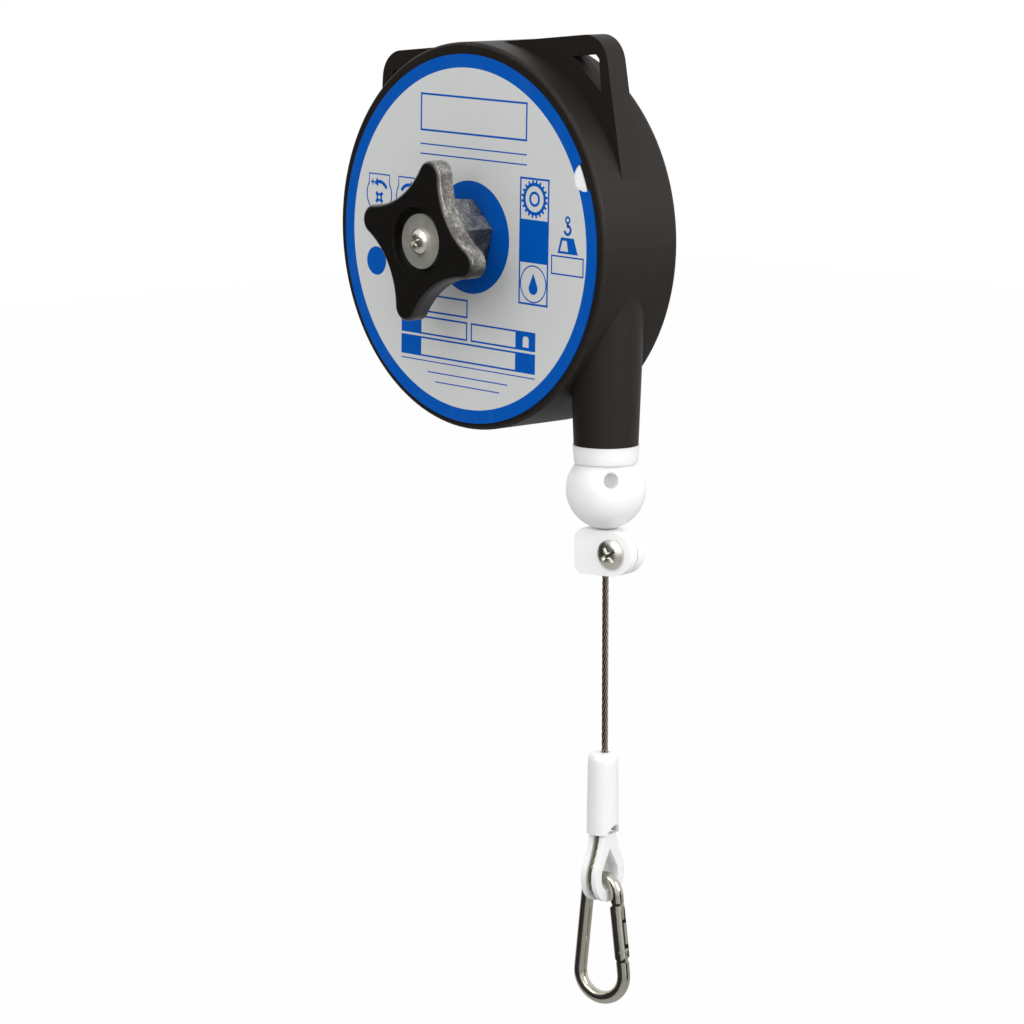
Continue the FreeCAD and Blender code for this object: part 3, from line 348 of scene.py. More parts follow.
def case_finish(base):
    """Dark moulded plastic with a fine grain, faint flow marks and scuffed patches."""
    made = Finish("case_black")
    cloud = made.noise(38.0, detail=2.0)
    grain = made.noise(0.32, detail=2.0)
    rub_and_painted_sheen_speckle = made.ramp(made.noise(14.0, detail=6.0, rough=0.7), (0.52, 0.0), (0.74, 1.0))
    flow = made.noise(9.0, detail=2.0, vector=made.stretched((1.0, 1.0, 0.22)))
    base_colour = made.tint(cloud, shade(base, 0.84), shade(base, 1.22))
    wear_and_painted_sheen = made.tint(rub_and_painted_sheen_speckle * 0.35, base_colour, shade(base, 1.9))
    fine = made.relief(grain, 0.035, 0.5)
    return made.surface(
        Base_Color=wear_and_painted_sheen,
        Roughness=0.46 + 0.12 * flow - 0.08 * rub_and_painted_sheen_speckle,
        Normal=made.relief(flow, 0.05, 0.35, under=fine),
        Specular_IOR_Level=0.22,
    )


def knob_finish(base):
    """Glossy black plastic with a coarse grain, and a painted grey sheen on the sides that face
    up and to the right.
    """
    made = Finish("knob_black")
    grain = made.noise(0.75, detail=4.0, rough=0.65)
    dust = made.ramp(made.noise(0.9, detail=6.0, rough=0.75), (0.55, 0.0), (0.68, 1.0))
    # Painted sheen: the sides of the knob that face up and to the right are made grey in the base
    # colour, as if a lamp lit them.
    across, along, up = made.parts(made.node("ShaderNodeTexCoord", output="Normal"))
    sides = made.ramp(along * along, (0.10, 1.0), (0.75, 0.0))
    upper = made.ramp(0.5 + 0.28 * across + 0.42 * up, (0.54, 0.0), (0.94, 1.0))
    outside = made.radius() > KNOB_RECESS
    wear_and_painted_sheen = sides * upper * outside
    # Two noise masks that break the painted sheen into patches and speckle.
    patch = made.ramp(made.noise(5.0, detail=3.0), (0.35, 0.25), (0.70, 1.0))
    rub_and_painted_sheen_speckle = made.ramp(made.noise(0.9, detail=5.0, rough=0.75), (0.36, 0.10), (0.68, 1.0))
    face = made.tint(dust * 0.5, base, shade(base, 3.2))
    return made.surface(
        # The grey (0.54, 0.52, 0.465) is the colour of the painted sheen.
        Base_Color=made.tint(wear_and_painted_sheen * patch * rub_and_painted_sheen_speckle, face, (0.54, 0.52, 0.465)),
        Roughness=0.24 + 0.14 * grain + 0.10 * dust,
        Normal=made.relief(grain, 0.10, 0.6),
        Specular_IOR_Level=0.5,
        Specular_Tint=(1.0, 0.94, 0.86, 1.0),
        Coat_Weight=0.35 * grain + 0.6 * wear_and_painted_sheen,
        Coat_Roughness=0.22,
    )


def white_finish(base, name="white_plastic", through=0.0):
    """Natural nylon, a little clear, with faint flow clouds and fine scuffs."""
    made = Finish(name)
    cloud = made.noise(7.0, detail=4.0)
    scuff = made.ramp(made.noise(2.4, detail=8.0, rough=0.8), (0.60, 0.0), (0.72, 1.0))
    base_colour = made.tint(cloud, shade(base, 0.965), shade(base, 1.03))
    marked = made.tint(scuff * 0.18, base_colour, shade(base, 0.86))
    return made.surface(
        Base_Color=marked,
        Roughness=0.30 + 0.14 * cloud + 0.12 * scuff,
        Normal=made.relief(made.noise(0.8, detail=3.0), 0.02, 0.4),
        Subsurface_Weight=0.35 + through,
        Subsurface_Radius=(1.0, 0.95, 0.9),
        Subsurface_Scale=(2.0 + 16.0 * through) * MM,
        Transmission_Weight=0.2 * through,
        IOR=1.53,
    )


def plated_finish(base, name, rough, patch=3.5, drawn=None):
    """Bright metal with soft stains, fine scratches and, if drawn, lines along it."""
    made = Finish(name)
    stain = made.noise(patch, detail=5.0, rough=0.65)
    pits = made.ramp(made.noise(0.55, detail=4.0, rough=0.7), (0.58, 0.0), (0.70, 1.0))
    lines = made.noise(0.25, detail=3.0, vector=made.stretched(drawn or (1.0, 1.0, 1.0)))
    stained = made.tint(stain, shade(base, 0.78), shade(base, 1.16))
    return made.surface(
        Base_Color=made.tint(pits * 0.4, stained, shade(base, 0.45)),
        Metallic=1.0,
        Roughness=rough + 0.12 * stain + 0.14 * pits,
        Normal=made.relief(lines, 0.012, 0.5),
    )


def rope_finish(base, radius):
    """Drawn wire, with painted shade in the gaps between the strands."""
    made = Finish("rope_steel")
    stain = made.noise(1.2, detail=5.0, rough=0.65)
    outward = made.node("ShaderNodeAttribute", {"attribute_name": "outward"}, output="Fac")
    # Painted shade: near the rope's middle line, deep in the gaps between the strands, the wire
    # is made near black; it keeps its own colour on the outer crowns.
    clear_of_gap_shade = made.ramp(outward / (radius * MM), (0.76, 0.0), (0.98, 1.0))
    wire = made.tint(stain, shade(base, 0.78), shade(base, 1.16))
    return made.surface(
        Base_Color=made.tint(clear_of_gap_shade, shade(base, 0.04), wire),
        Metallic=1.0,
        Roughness=0.42 + 0.1 * stain - 0.28 * clear_of_gap_shade,
        Normal=made.relief(made.noise(0.25), 0.012, 0.5),
    )


def turned_finish(base, name, rough):
    """Turned metal with fine rings about the drum's axis."""
    made = Finish(name)
    rings = made.sum("SINE", made.radius() * TURNED_RINGS, 0.0)
    cloud = made.noise(6.0, detail=4.0)
    return made.surface(
        Base_Color=made.tint(cloud, shade(base, 0.85), shade(base, 1.1)),
        Metallic=1.0,
        Roughness=rough + 0.12 * cloud,
        Normal=made.relief(rings * 0.5 + 0.5, 0.01, 0.4),
    )


def bronze_finish(base):
    """Sintered bronze, speckled with pores."""
    made = Finish("bearing_bronze")
    pores = made.ramp(made.noise(0.4, detail=4.0, rough=0.7), (0.52, 0.0), (0.64, 1.0))
    clouded = made.tint(made.noise(4.0), shade(base, 0.85), shade(base, 1.15))
    return made.surface(
        Base_Color=made.tint(pores, clouded, shade(base, 0.4)),
        Metallic=1.0,
        Roughness=0.38 + 0.2 * pores,
        Normal=made.relief(1.0 - pores, 0.03, 0.6),
    )


def label_finish(colours, sizes):
    """Grey film with a blue rim and a blue disc behind the knob."""
    made = Finish("label_print")
    right, _, height = made.parts(made.place())
    across = right / MM - LABEL_CENTRE[0]
    up = height / MM - LABEL_CENTRE[1]
    from_middle = (across**2.0 + up**2.0) ** 0.5
    from_hub = ((across - sizes.hub_shift) ** 2.0 + (up - HUB_RISE) ** 2.0) ** 0.5
    inked = (from_middle > sizes.rim) | (from_hub < sizes.hub)
    weave = made.noise(0.5, detail=3.0)
    soil = made.ramp(made.noise(11.0, detail=7.0, rough=0.72), (0.50, 0.0), (0.80, 1.0))
    printed = made.tint(inked, colours.field, colours.ink)
    return made.surface(
        Base_Color=made.tint(soil * 0.06, printed, (0.2, 0.19, 0.18)),
        Roughness=0.38 + 0.05 * weave + 0.12 * soil,
        Normal=made.relief(weave, 0.006, 0.5),
        Specular_IOR_Level=0.04,
    )


def ink_finish(base):
    """The blue ink of the printed marks."""
    made = Finish("label_ink")
    grain = made.noise(0.5, detail=3.0)
    return made.surface(
        Base_Color=made.tint(grain, shade(base, 0.94), shade(base, 1.08)),
        Roughness=0.38 + 0.06 * grain,
        Normal=made.relief(grain, 0.006, 0.5),
        Specular_IOR_Level=0.04,
    )


def dress(material, *names):
    """Gives CAD pieces their finish."""
    for name in names:
        mesh = CAD_NODES[name].data
        mesh.materials.clear()
        mesh.materials.append(material)


def add_piece(name, mesh, material):
    """A new piece at the origin, with its place in its mesh."""
    mesh.name = name
    mesh.materials.clear()
    mesh.materials.append(material)
    piece = bpy.data.objects.new(name, mesh)
    bpy.context.scene.collection.objects.link(piece)
    return piece


def circle(centre, radius, start=0.0, end=360.0, count=64):
    """Points on an arc, in degrees."""
    closed = abs(end - start) >= 360.0
    steps = count if closed else count + 1
    angles = [math.radians(start + (end - start) * i / count) for i in range(steps)]
    return [(centre[0] + radius * math.cos(a), centre[1] + radius * math.sin(a)) for a in angles]


def box_points(left, bottom, right, top):
    """Corners of an upright rectangle."""
    return [(left, bottom), (right, bottom), (right, top), (left, top)]


class Print:
    """Flat printed marks on the label, in millimetres about its centre."""

    def __init__(self, line, turned):
        self.line = line
        self.turned = turned
        self.meshes = []

    def mark(self, *outlines):
        """Fills a set of outlines; one that lies in another is a hole in it."""
        flat = bpy.data.curves.new("mark", "CURVE")
        flat.dimensions = "2D"
        flat.fill_mode = "BOTH"
        flat.extrude = PRINT_DEPTH * MM
        for points in outlines:
            spline = flat.splines.new("POLY")
            spline.points.add(len(points) - 1)
            for point, (across, up) in zip(spline.points, points):
                point.co = (across * MM, up * MM, 0.0, 1.0)
            spline.use_cyclic_u = True
        holder = bpy.data.objects.new("mark", flat)
        mesh = bpy.data.meshes.new_from_object(holder)
        bpy.data.objects.remove(holder)
        self.meshes.append(mesh)

    def frame(self, left, bottom, right, top, line):
        """An empty box drawn with a line."""
        self.mark(
            box_points(left, bottom, right, top),
            box_points(left + line, bottom + line, right - line, top - line),
        )

    def cells(self, outer, empty, *holes):
        """A filled strip of cells with one empty cell in it."""
        left, bottom, right, top = outer
        first = max(left + self.line, empty[0])
        last = min(right - self.line, empty[1])
        inside = box_points(first, bottom + self.line, last, top - self.line)
        self.mark(box_points(*outer), inside, *holes)

    def bar(self, left, bottom, right, top):
        """A filled rectangle."""
        self.mark(box_points(left, bottom, right, top))

    def ring(self, centre, outer, inner):
        """A ring."""
        self.mark(circle(centre, outer), circle(centre, inner))

    def arrow(self, centre, radius, start, end):
        """A curved arrow that points to the end of its arc."""
        half_shaft, half_head, head_angle = 0.55, 1.5, 26.0
        sweep = circle(centre, radius + half_shaft, start, end, 20)
        back = circle(centre, radius - half_shaft, start, end, 20)[::-1]
        ahead = end + math.copysign(head_angle, end - start)
        tip = circle(centre, radius, ahead, ahead, 1)[0]
        outer = circle(centre, radius + half_head, end, end, 1)[0]
        inner = circle(centre, radius - half_head, end, end, 1)[0]
        self.mark(sweep + [outer, tip, inner] + back)

    def join(self):
        """One mesh of all the marks, on the face of the label."""
        whole = bmesh.new()
        for mesh in self.meshes:
            whole.from_mesh(mesh)
            bpy.data.meshes.remove(mesh)
        middle = Vector((LABEL_CENTRE[0] * MM, LABEL_FRONT, LABEL_CENTRE[1] * MM))
        upright = Matrix.Rotation(math.pi / 2, 4, "X") @ Matrix.Rotation(self.turned, 4, "Z")
        whole.transform(Matrix.Translation(middle) @ upright)
        joined = bpy.data.meshes.new("label_marks")
        whole.to_mesh(joined)
        whole.free()
        return joined


def toothed(centre, root, tip, teeth):
    """Outline of a toothed wheel."""
    flank = ((0.0, root), (0.25, root), (0.32, tip), (0.68, tip), (0.75, root))
    points = []
    for tooth in range(teeth):
        for part, radius in flank:
            angle = 360.0 * (tooth + part) / teeth
            points += circle(centre, radius, angle, angle, 1)[:1]
    return points


def drop_points(centre, radius):
    """Outline of a drop with its point upwards."""
    around = circle(centre, radius, -200.0, 20.0, 28)
    return around + [(centre[0], centre[1] + 2.4 * radius)]


def print_table(marks):
    """Empty boxes and filled cells in the lower half."""
    left, half_end, half_start, right = -29.3, 0.84, 2.4, 31.0
    empty_from, empty_to = -20.1, 22.3
    low, high = -31.0, -25.2
    marks.cells((left, -24.0, half_end, -18.33), (empty_from, half_end))
    marks.cells((left, low, half_end, high), (empty_from, half_end))
    block = [(25.5, -30.0), (28.1, -30.0), (28.1, -27.3), (27.5, -26.7), (26.1, -26.7)]
    marks.cells((half_start, low, right, high), (half_start, empty_to), block + [(25.5, -27.3)])
    marks.cells((left, -37.85, right, -31.75), (empty_from, empty_to))
    for start, end, base, line in (
        (left, right, -39.3, 0.6 * marks.line),
        (-17.0, 19.0, -42.6, 0.35),
        (-13.5, 15.5, -45.4, 0.35),
    ):
        marks.bar(start, base, end, base + line)


def print_panel(marks):
    """The upright panel of three cells on the right."""
    left, bottom, right, top = 23.3, -17.0, 36.0, 21.2
    filled_bottom, filled_top, line = -4.27, 8.65, 0.6
    marks.mark(
        box_points(left, bottom, right, top),
        box_points(left + line, filled_top, right - line, top - line),
        box_points(left + line, bottom + line, right - line, filled_bottom),
    )
    middle = (left + right) / 2
    gear = (middle, 14.9)
    marks.mark(toothed(gear, 4.9, 5.7, 20), circle(gear, 3.9))
    marks.ring(gear, 2.3, 1.5)
    marks.ring((middle, -10.6), 5.7, 5.3)
    marks.mark(drop_points((middle, -11.9), 1.9))


def print_weight(marks):
    """The hanging weight with its empty box."""
    marks.mark(
        [(39.9, -0.2), (48.5, -0.2), (46.7, 4.6), (41.3, 4.6)],
        [(40.9, 0.5), (44.4, 0.5), (43.7, 3.7), (41.9, 3.7)],
    )
    middle, half_shank = 44.0, 0.4
    marks.ring((middle, 9.9), 1.15, 0.55)
    hook = circle((middle, 6.9), 1.7, 90.0, -170.0, 24)
    inner = circle((middle, 6.9), 0.85, 90.0, -170.0, 24)[::-1]
    marks.mark(hook + inner)
    marks.bar(middle - half_shank, 7.6, middle + half_shank, 8.9)
    marks.frame(37.2, -6.7, 51.05, -0.9, 0.45)


def print_turning(marks):
    """Two plates with a curved arrow each, for more and less pull, and a plain disc."""
    for middle, more in ((-40.4, True), (-26.6, False)):
        plate = (middle, 10.6)
        outlines = []
        for radius, half, top in ((6.0, 4.9, 17.0), (5.55, 4.6, 16.6)):
            corners = [(middle + half, top), (middle - half, top)]
            outlines.append(circle(plate, radius, 145.0, 395.0, 40) + corners)
        marks.mark(*outlines)
        marks.arrow(plate, 3.9, *((30.0, 100.0) if more else (150.0, 80.0)))
        lobes = (middle, 9.6)
        marks.mark(toothed(lobes, 1.3, 2.2, 4), circle(lobes, 0.6, count=16))
        sign = middle - 3.1 if more else middle + 3.1
        marks.bar(sign - 0.9, 14.0, sign + 0.9, 14.45)
        if more:
            marks.bar(sign - 0.22, 13.3, sign + 0.22, 15.1)
    marks.mark(circle((-41.4, -10.3), 4.45))


def print_field(marks):
    """A blank write-on field with two thin lines below it."""
    left, right, line = -21.5, 26.0, 0.4
    marks.frame(left, 31.8, right, 43.4, 0.6)
    for base in (27.6, 24.6):
        marks.bar(left, base, right, base + line)


def path_mesh(name, points):
    """A plain line through points, for the rope's strands to follow."""
    mesh = bpy.data.meshes.new(name)
    mesh.from_pydata(points, [(i, i + 1) for i in range(len(points) - 1)], [])
    return mesh


def strand_tree(material):
    """Geometry nodes that lay strands round a line."""
    group = bpy.data.node_groups.new("laid_rope", "GeometryNodeTree")
    nodes = Nodes(group)
    for name, kind in (
        ("Line", "Geometry"),
        ("Rope Radius", "Float"),
        ("Lay", "Float"),
        ("Step", "Float"),
        ("Strands", "Int"),
        ("Sides", "Int"),
        ("Plane", "Vector"),
    ):
        group.interface.new_socket(name, in_out="INPUT", socket_type="NodeSocket" + kind)
    group.interface.new_socket("Rope", in_out="OUTPUT", socket_type="NodeSocketGeometry")

    def vector(operation, sockets, output="Vector"):
        return nodes.node("ShaderNodeVectorMath", {"operation": operation}, sockets, output)

    def stored(geometry, name, kind, value):
        settings = {"data_type": kind, "domain": "POINT"}
        sockets = {"Geometry": geometry, "Name": name, "Value": value}
        return nodes.node("GeometryNodeStoreNamedAttribute", settings, sockets)

    line = nodes.node("NodeGroupInput", output="Line")
    radius, plane = line.output("Rope Radius"), line.output("Plane")
    strands = line.output("Strands")

    # The line in even steps, each point of which keeps its place for the finish.
    curve = nodes.node("GeometryNodeMeshToCurve", None, {"Mesh": line})
    settings = {"mode": "LENGTH"}
    sockets = {"Curve": curve, "Length": line.output("Step")}
    even = nodes.node("GeometryNodeResampleCurve", settings, sockets)
    place = nodes.node("GeometryNodeInputPosition")
    core = stored(even, "middle", "FLOAT_VECTOR", place)

    # A copy for each outer strand, moved out to its own winding round the line.
    sockets = {"Geometry": core, "Amount": strands}
    copies = nodes.node("GeometryNodeDuplicateElements", {"domain": "SPLINE"}, sockets)
    share = copies.output("Duplicate Index") / strands
    turns = nodes.node("GeometryNodeSplineParameter", output="Length") / line.output("Lay")
    angle = (share + turns) * (2 * math.pi)
    tangent = nodes.node("GeometryNodeInputTangent")
    side = vector("CROSS_PRODUCT", {0: tangent, 1: plane})
    reach = radius * STRAND_REACH
    in_plane = vector("SCALE", {0: plane, "Scale": nodes.sum("COSINE", angle, 0.0) * reach})
    out_of_plane = vector("SCALE", {0: side, "Scale": nodes.sum("SINE", angle, 0.0) * reach})
    sockets = {"Geometry": copies, "Offset": vector("ADD", {0: in_plane, 1: out_of_plane})}
    laid = nodes.node("GeometryNodeSetPosition", None, sockets)
    everything = nodes.node("GeometryNodeJoinGeometry", None, {0: [laid, core]})

    # Round section, and each point's distance from the line.
    sockets = {"Resolution": line.output("Sides"), "Radius": radius * STRAND_RADIUS}
    section = nodes.node("GeometryNodeCurvePrimitiveCircle", {"mode": "RADIUS"}, sockets)
    sockets = {"Curve": everything, "Profile Curve": section, "Fill Caps": True}
    tube = nodes.node("GeometryNodeCurveToMesh", None, sockets)
    settings = {"data_type": "FLOAT_VECTOR"}
    middle = nodes.node("GeometryNodeInputNamedAttribute", settings, {"Name": "middle"})
    outward = vector("DISTANCE", {0: place, 1: middle}, "Value")
    marked = stored(tube, "outward", "FLOAT", outward)
    smooth = nodes.node("GeometryNodeSetShadeSmooth", None, {"Geometry": marked})
    real = nodes.node("GeometryNodeRealizeInstances", None, {"Geometry": smooth})
    sockets = {"Geometry": real, "Material": material}
    ended = nodes.node("GeometryNodeSetMaterial", None, sockets)
    nodes.node("NodeGroupOutput", None, {0: ended})
    return group


def lay_rope(name, points, sizes, material):
    """A rope of strands that follows points, as a plain mesh."""
    holder = bpy.data.objects.new(name + "_line", path_mesh(name + "_line", points))
    bpy.context.scene.collection.objects.link(holder)
    modifier = holder.modifiers.new("Strands", "NODES")
    modifier.node_group = strand_tree(material)
    values = {
        "Rope Radius": sizes.radius * MM,
        "Lay": sizes.lay * MM,
        "Step": sizes.step * MM,
        "Strands": sizes.strands,
        "Sides": sizes.sides,
        "Plane": tuple(SWIVEL),
    }
    for socket in modifier.node_group.interface.items_tree:
        if socket.name in values:
            modifier[socket.identifier] = values[socket.name]
    ready = holder.evaluated_get(bpy.context.evaluated_depsgraph_get())
    mesh = bpy.data.meshes.new_from_object(ready)
    bpy.data.objects.remove(holder)
    if not mesh.polygons:
        raise RuntimeError("the rope %s has no strands" % name)
    return add_piece(name, mesh, material)


def hung(forward, drop):
    """A point of the rope's loop: millimetres forward of the rope and below its top."""
    return ROPE_TOP + FORWARD * (forward * MM) + Vector((0.0, 0.0, -drop * MM))


def loop_points():
    """The rope from the clamp, round the thimble and back up into the ferrule."""
    middle, eye, radius, bend, leg = 1.05, 193.1, 6.5, 30.0, 1.05
    leg_steps, eye_steps = 12, 40
    fall = math.sqrt((bend + radius) ** 2 - (bend + leg) ** 2)
    slope = math.atan2(fall, bend + leg)
    legs = []
    for side in (-1.0, 1.0):
        curve = []
        for step in range(leg_steps + 1):
            turn = slope * step / leg_steps
            out = middle + side * (leg + bend * (1.0 - math.cos(turn)))
            curve.append(hung(out, eye - fall + bend * math.sin(turn)))
        legs.append(curve)
    around = []
    for step in range(1, eye_steps):
        turn = math.pi + slope - (math.pi + 2.0 * slope) * step / eye_steps
        around.append(hung(middle + radius * math.cos(turn), eye + radius * math.sin(turn)))
    start, end = hung(middle - leg, CLAMP_DROP), hung(middle + leg, FERRULE_DROP)
    return [start] + legs[0] + around + legs[1][::-1] + [end]


class BALANCER_OT_case(bpy.types.Operator):
    """Gives the case its moulded finish"""

    bl_idname = "balancer.dress_case"
    bl_label = "Dress the case"

    def execute(self, context):
        dress(case_finish(context.scene.balancer_finishes.case), "case")
        return {"FINISHED"}


class BALANCER_OT_knob(bpy.types.Operator):
    """Gives the adjusting knob its glossy finish"""

    bl_idname = "balancer.dress_knob"
    bl_label = "Dress the knob"

    def execute(self, context):
        dress(knob_finish(context.scene.balancer_finishes.knob), "knob")
        return {"FINISHED"}


class BALANCER_OT_white(bpy.types.Operator):
    """Gives the nylon parts of the rope's end their finish"""

    bl_idname = "balancer.dress_white"
    bl_label = "Dress the white parts"

    def execute(self, context):
        base = context.scene.balancer_finishes.white
        dress(white_finish(base), "stop_front", "stop_back", "front_cover", "spring_cover")
        natural = white_finish(shade(base, 0.93), "natural_nylon", 0.1)
        dress(natural, "outlet_bush", "sleeve", "thimble")
        dress(white_finish(shade(base, 0.97), "ball_nylon", 0.4), "buffer_ball")
        return {"FINISHED"}


class BALANCER_OT_metal(bpy.types.Operator):
    """Gives screws, pins, washer and hook their metal"""

    bl_idname = "balancer.dress_metal"
    bl_label = "Dress the metal parts"

    def execute(self, context):
        colours = context.scene.balancer_finishes
        zinc = plated_finish(colours.zinc, "zinc_steel", 0.20)
        dress(zinc, "cover_screws", "knob_screw", "stop_screw", "stop_nut")
        dress(plated_finish(colours.zinc, "washer_steel", 0.55), "knob_washer")
        bright = plated_finish(colours.hook, "hook_steel", 0.10, 6.0, (1.0, 1.0, 0.06))
        dress(bright, "hook", "gate", "gate_pivot_pin", "gate_latch_pin")
        plain = plated_finish(colours.zinc, "plain_steel", 0.30)
        dress(plain, "ratchet_wheel", "pawl", "pawl_pin", "ferrule")
        dress(turned_finish(colours.zinc, "ground_steel", 0.22), "arbor_shaft")
        return {"FINISHED"}


class BALANCER_OT_works(bpy.types.Operator):
    """Gives drum, spring, bushes and wound rope their finish"""

    bl_idname = "balancer.dress_works"
    bl_label = "Dress the works"

    def execute(self, context):
        colours = context.scene.balancer_finishes
        dress(turned_finish(colours.drum, "drum_aluminium", 0.30), "cable_drum")
        dress(plated_finish(colours.spring, "spring_steel", 0.24, 8.0), "power_spring")
        dress(plated_finish(colours.rope, "wound_rope_steel", 0.34, 1.5), "wound_rope")
        bushes = ("rear_bush", "front_bush", "drum_back_bush", "drum_front_bush")
        dress(bronze_finish(colours.bronze), *bushes)
        return {"FINISHED"}


class BALANCER_OT_label(bpy.types.Operator):
    """Prints the label: rings, empty boxes, plain arrows and signs"""

    bl_idname = "balancer.print_label"
    bl_label = "Print the label"

    def execute(self, context):
        colours = context.scene.balancer_finishes
        sizes = context.scene.balancer_label
        dress(label_finish(colours, sizes), "label")
        marks = Print(sizes.line, sizes.turned)
        print_table(marks)
        print_panel(marks)
        print_weight(marks)
        print_turning(marks)
        print_field(marks)
        piece = add_piece("label_marks", marks.join(), ink_finish(colours.ink))
        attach(piece, "case")
        return {"FINISHED"}


class BALANCER_OT_rope(bpy.types.Operator):
    """Lays the rope's strands from the drum to the loop"""

    bl_idname = "balancer.lay_rope"
    bl_label = "Lay the rope"

    def execute(self, context):
        sizes = context.scene.balancer_rope
        steel = rope_finish(context.scene.balancer_finishes.rope, sizes.radius)
        low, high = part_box("upper_rope")
        straight = [ROPE_TOP + Vector((0.0, 0.0, end.z)) for end in (high, low)]
        upper = lay_rope("upper_strands", straight, sizes, steel)
        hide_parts("upper_rope")
        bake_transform(upper)
        lower = lay_rope("lower_strands", loop_points(), sizes, steel)
        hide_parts("lower_rope")
        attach(lower, "load_end")
        return {"FINISHED"}


def add_lamp(name, place, aim, size, power):
    """A soft square lamp that shines at a point."""
    lamp = bpy.data.lights.new(name, "AREA")
    lamp.shape = "RECTANGLE"
    lamp.size, lamp.size_y = size
    lamp.energy = power
    holder = bpy.data.objects.new(name, lamp)
    holder.location = place
    holder.rotation_mode = "QUATERNION"
    holder.rotation_quaternion = (Vector(aim) - Vector(place)).to_track_quat("-Z", "Y")
    bpy.context.scene.collection.objects.link(holder)


def seen_by(nodes, *kinds):
    """1 for these kinds of ray, 0 for all others."""
    path = nodes.node("ShaderNodeLightPath")
    seen = path.output("Is Camera Ray")
    for kind in kinds:
        seen = seen | path.output("Is %s Ray" % kind)
    return seen


def floor_finish():
    """A pale floor that is all but white to the camera."""
    made = Finish("pale_floor")
    pale = made.tint(made.noise(30.0), (0.62,) * 3, (0.66,) * 3)
    matt = made.node("ShaderNodeBsdfDiffuse", None, {"Color": pale})
    white = made.node("ShaderNodeEmission", None, {"Color": WHITE, "Strength": 1.0})
    seen = seen_by(made, "Transmission") * 0.985
    mixed = made.node("ShaderNodeMixShader", None, {0: seen, 1: matt, 2: white})
    made.node("ShaderNodeOutputMaterial", None, {"Surface": mixed})
    return made.material


def set_world(ambient):
    """White to the eye, softer as a light."""
    world = bpy.data.worlds.new("studio")
    bpy.context.scene.world = world
    world.use_nodes = True
    nodes = Nodes(world.node_tree)
    strength = ambient + (1.0 - ambient) * seen_by(nodes, "Glossy", "Transmission")
    back = nodes.node("ShaderNodeBackground", None, {"Color": WHITE, "Strength": strength})
    nodes.node("ShaderNodeOutputWorld", None, {"Surface": back})


def add_card(name, start, end, low, high):
    """An upright black card that only reflections see."""
    corners = [(*start, low), (*end, low), (*end, high), (*start, high)]
    mesh = bpy.data.meshes.new(name)
    mesh.from_pydata(corners, [], [(0, 1, 2, 3)])
    made = Finish(name)
    cloud = made.noise(80.0)
    material = made.surface(Base_Color=made.tint(cloud, (0.02,) * 3, (0.03,) * 3), Roughness=0.9)
    card = add_piece(name, mesh, material)
    card.visible_camera = False
    card.visible_shadow = False
    card.visible_diffuse = False


def set_camera():
    """A long lens in front of the object, to its right and a little above it."""
    azimuth, elevation = math.radians(46.796), math.radians(9.554)
    aside, level = Vector((math.sin(azimuth), -math.cos(azimuth), 0.0)), math.cos(elevation)
    back = aside * level + Vector((0.0, 0.0, math.sin(elevation)))
    right = Vector((math.cos(azimuth), math.sin(azimuth), 0.0))
    up = back.cross(right)

    # Metres, but for the focal length and the shifts, which are pixels of a picture this wide.
    aim, distance = Vector((0.0, -0.032, 0.0)), 1.15544
    focal, image, shift_right, shift_up = 3800.0, 1024.0, 45.37, -274.76
    lens = bpy.data.cameras.new("view")
    lens.lens = focal / image * lens.sensor_width
    lens.clip_start, lens.clip_end = 0.05, 50.0
    camera = bpy.data.objects.new("view", lens)
    shift = (right * shift_right + up * shift_up) * (distance / focal)
    camera.location = aim + back * distance + shift
    camera.rotation_mode = "QUATERNION"
    camera.rotation_quaternion = (-back).to_track_quat("-Z", "Y")
    bpy.context.scene.collection.objects.link(camera)
    bpy.context.scene.camera = camera


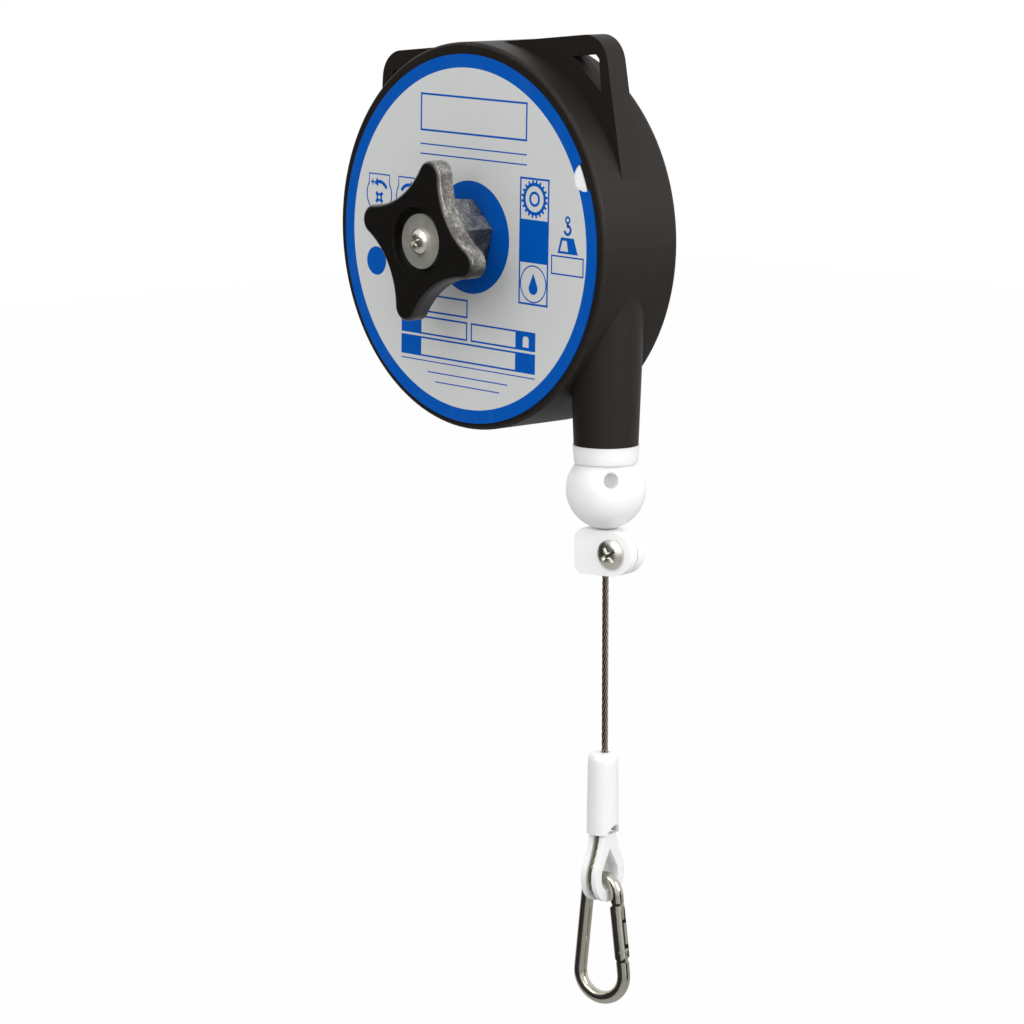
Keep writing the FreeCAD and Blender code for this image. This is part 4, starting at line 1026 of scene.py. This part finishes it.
class BALANCER_OT_stage(bpy.types.Operator):
    """Sets the floor, the soft lamps and the camera"""

    bl_idname = "balancer.set_stage"
    bl_label = "Set the studio"

    def execute(self, context):
        studio = context.scene.balancer_studio
        context.scene.view_settings.view_transform = "Standard"
        set_world(studio.ambient)
        floor = bpy.data.meshes.new("floor")
        corners = box_points(-FLOOR_REACH, -FLOOR_REACH, FLOOR_REACH, FLOOR_REACH)
        floor.from_pydata([(*corner, FLOOR_LEVEL) for corner in corners], [], [(0, 1, 2, 3)])
        add_piece("floor", floor, floor_finish())
        add_card("left_card", (-1.3, -0.2), (0.55, -1.3), -0.68, 0.50)
        add_card("right_card", (1.19, 0.15), (0.96, 0.72), -0.68, -0.02)
        middle = (0.0, -0.02, -0.06)
        add_lamp("key_lamp", (0.45, -1.05, 0.7), middle, (1.2, 1.2), studio.key)
        add_lamp("side_lamp", (1.05, 0.12, 0.38), middle, (0.45, 0.7), studio.fill)
        set_camera()
        return {"FINISHED"}


class BALANCER_PT_panel(bpy.types.Panel):
    """Lists the balancer's sizes, colours and steps"""

    bl_idname = "BALANCER_PT_panel"
    bl_label = "Tool Balancer"
    bl_space_type = "VIEW_3D"
    bl_region_type = "UI"
    bl_category = "Tool Balancer"

    def draw(self, context):
        for group in ("balancer_finishes", "balancer_label", "balancer_rope", "balancer_studio"):
            values = getattr(context.scene, group)
            box = self.layout.box()
            for name in values.__annotations__:
                box.prop(values, name)
        for step in STEPS:
            self.layout.operator(step.bl_idname)


GROUPS = {
    "balancer_finishes": BalancerFinishes,
    "balancer_label": BalancerLabel,
    "balancer_rope": BalancerRope,
    "balancer_studio": BalancerStudio,
}
STEPS = (
    BALANCER_OT_case,
    BALANCER_OT_knob,
    BALANCER_OT_white,
    BALANCER_OT_metal,
    BALANCER_OT_works,
    BALANCER_OT_label,
    BALANCER_OT_rope,
    BALANCER_OT_stage,
)


def register():
    """Adds the settings, steps and panel."""
    for kind in (*GROUPS.values(), *STEPS, BALANCER_PT_panel):
        bpy.utils.register_class(kind)
    for name, kind in GROUPS.items():
        setattr(bpy.types.Scene, name, PointerProperty(type=kind))


def unregister():
    """Takes them away again."""
    for name in GROUPS:
        delattr(bpy.types.Scene, name)
    for kind in (BALANCER_PT_panel, *reversed(STEPS), *reversed(tuple(GROUPS.values()))):
        bpy.utils.unregister_class(kind)


def main():
    """Runs every step in order."""
    register()
    bpy.ops.balancer.dress_case()
    bpy.ops.balancer.dress_knob()
    bpy.ops.balancer.dress_white()
    bpy.ops.balancer.dress_metal()
    bpy.ops.balancer.dress_works()
    bpy.ops.balancer.print_label()
    bpy.ops.balancer.lay_rope()
    bpy.ops.balancer.set_stage()


if __name__ == "__main__":
    main()
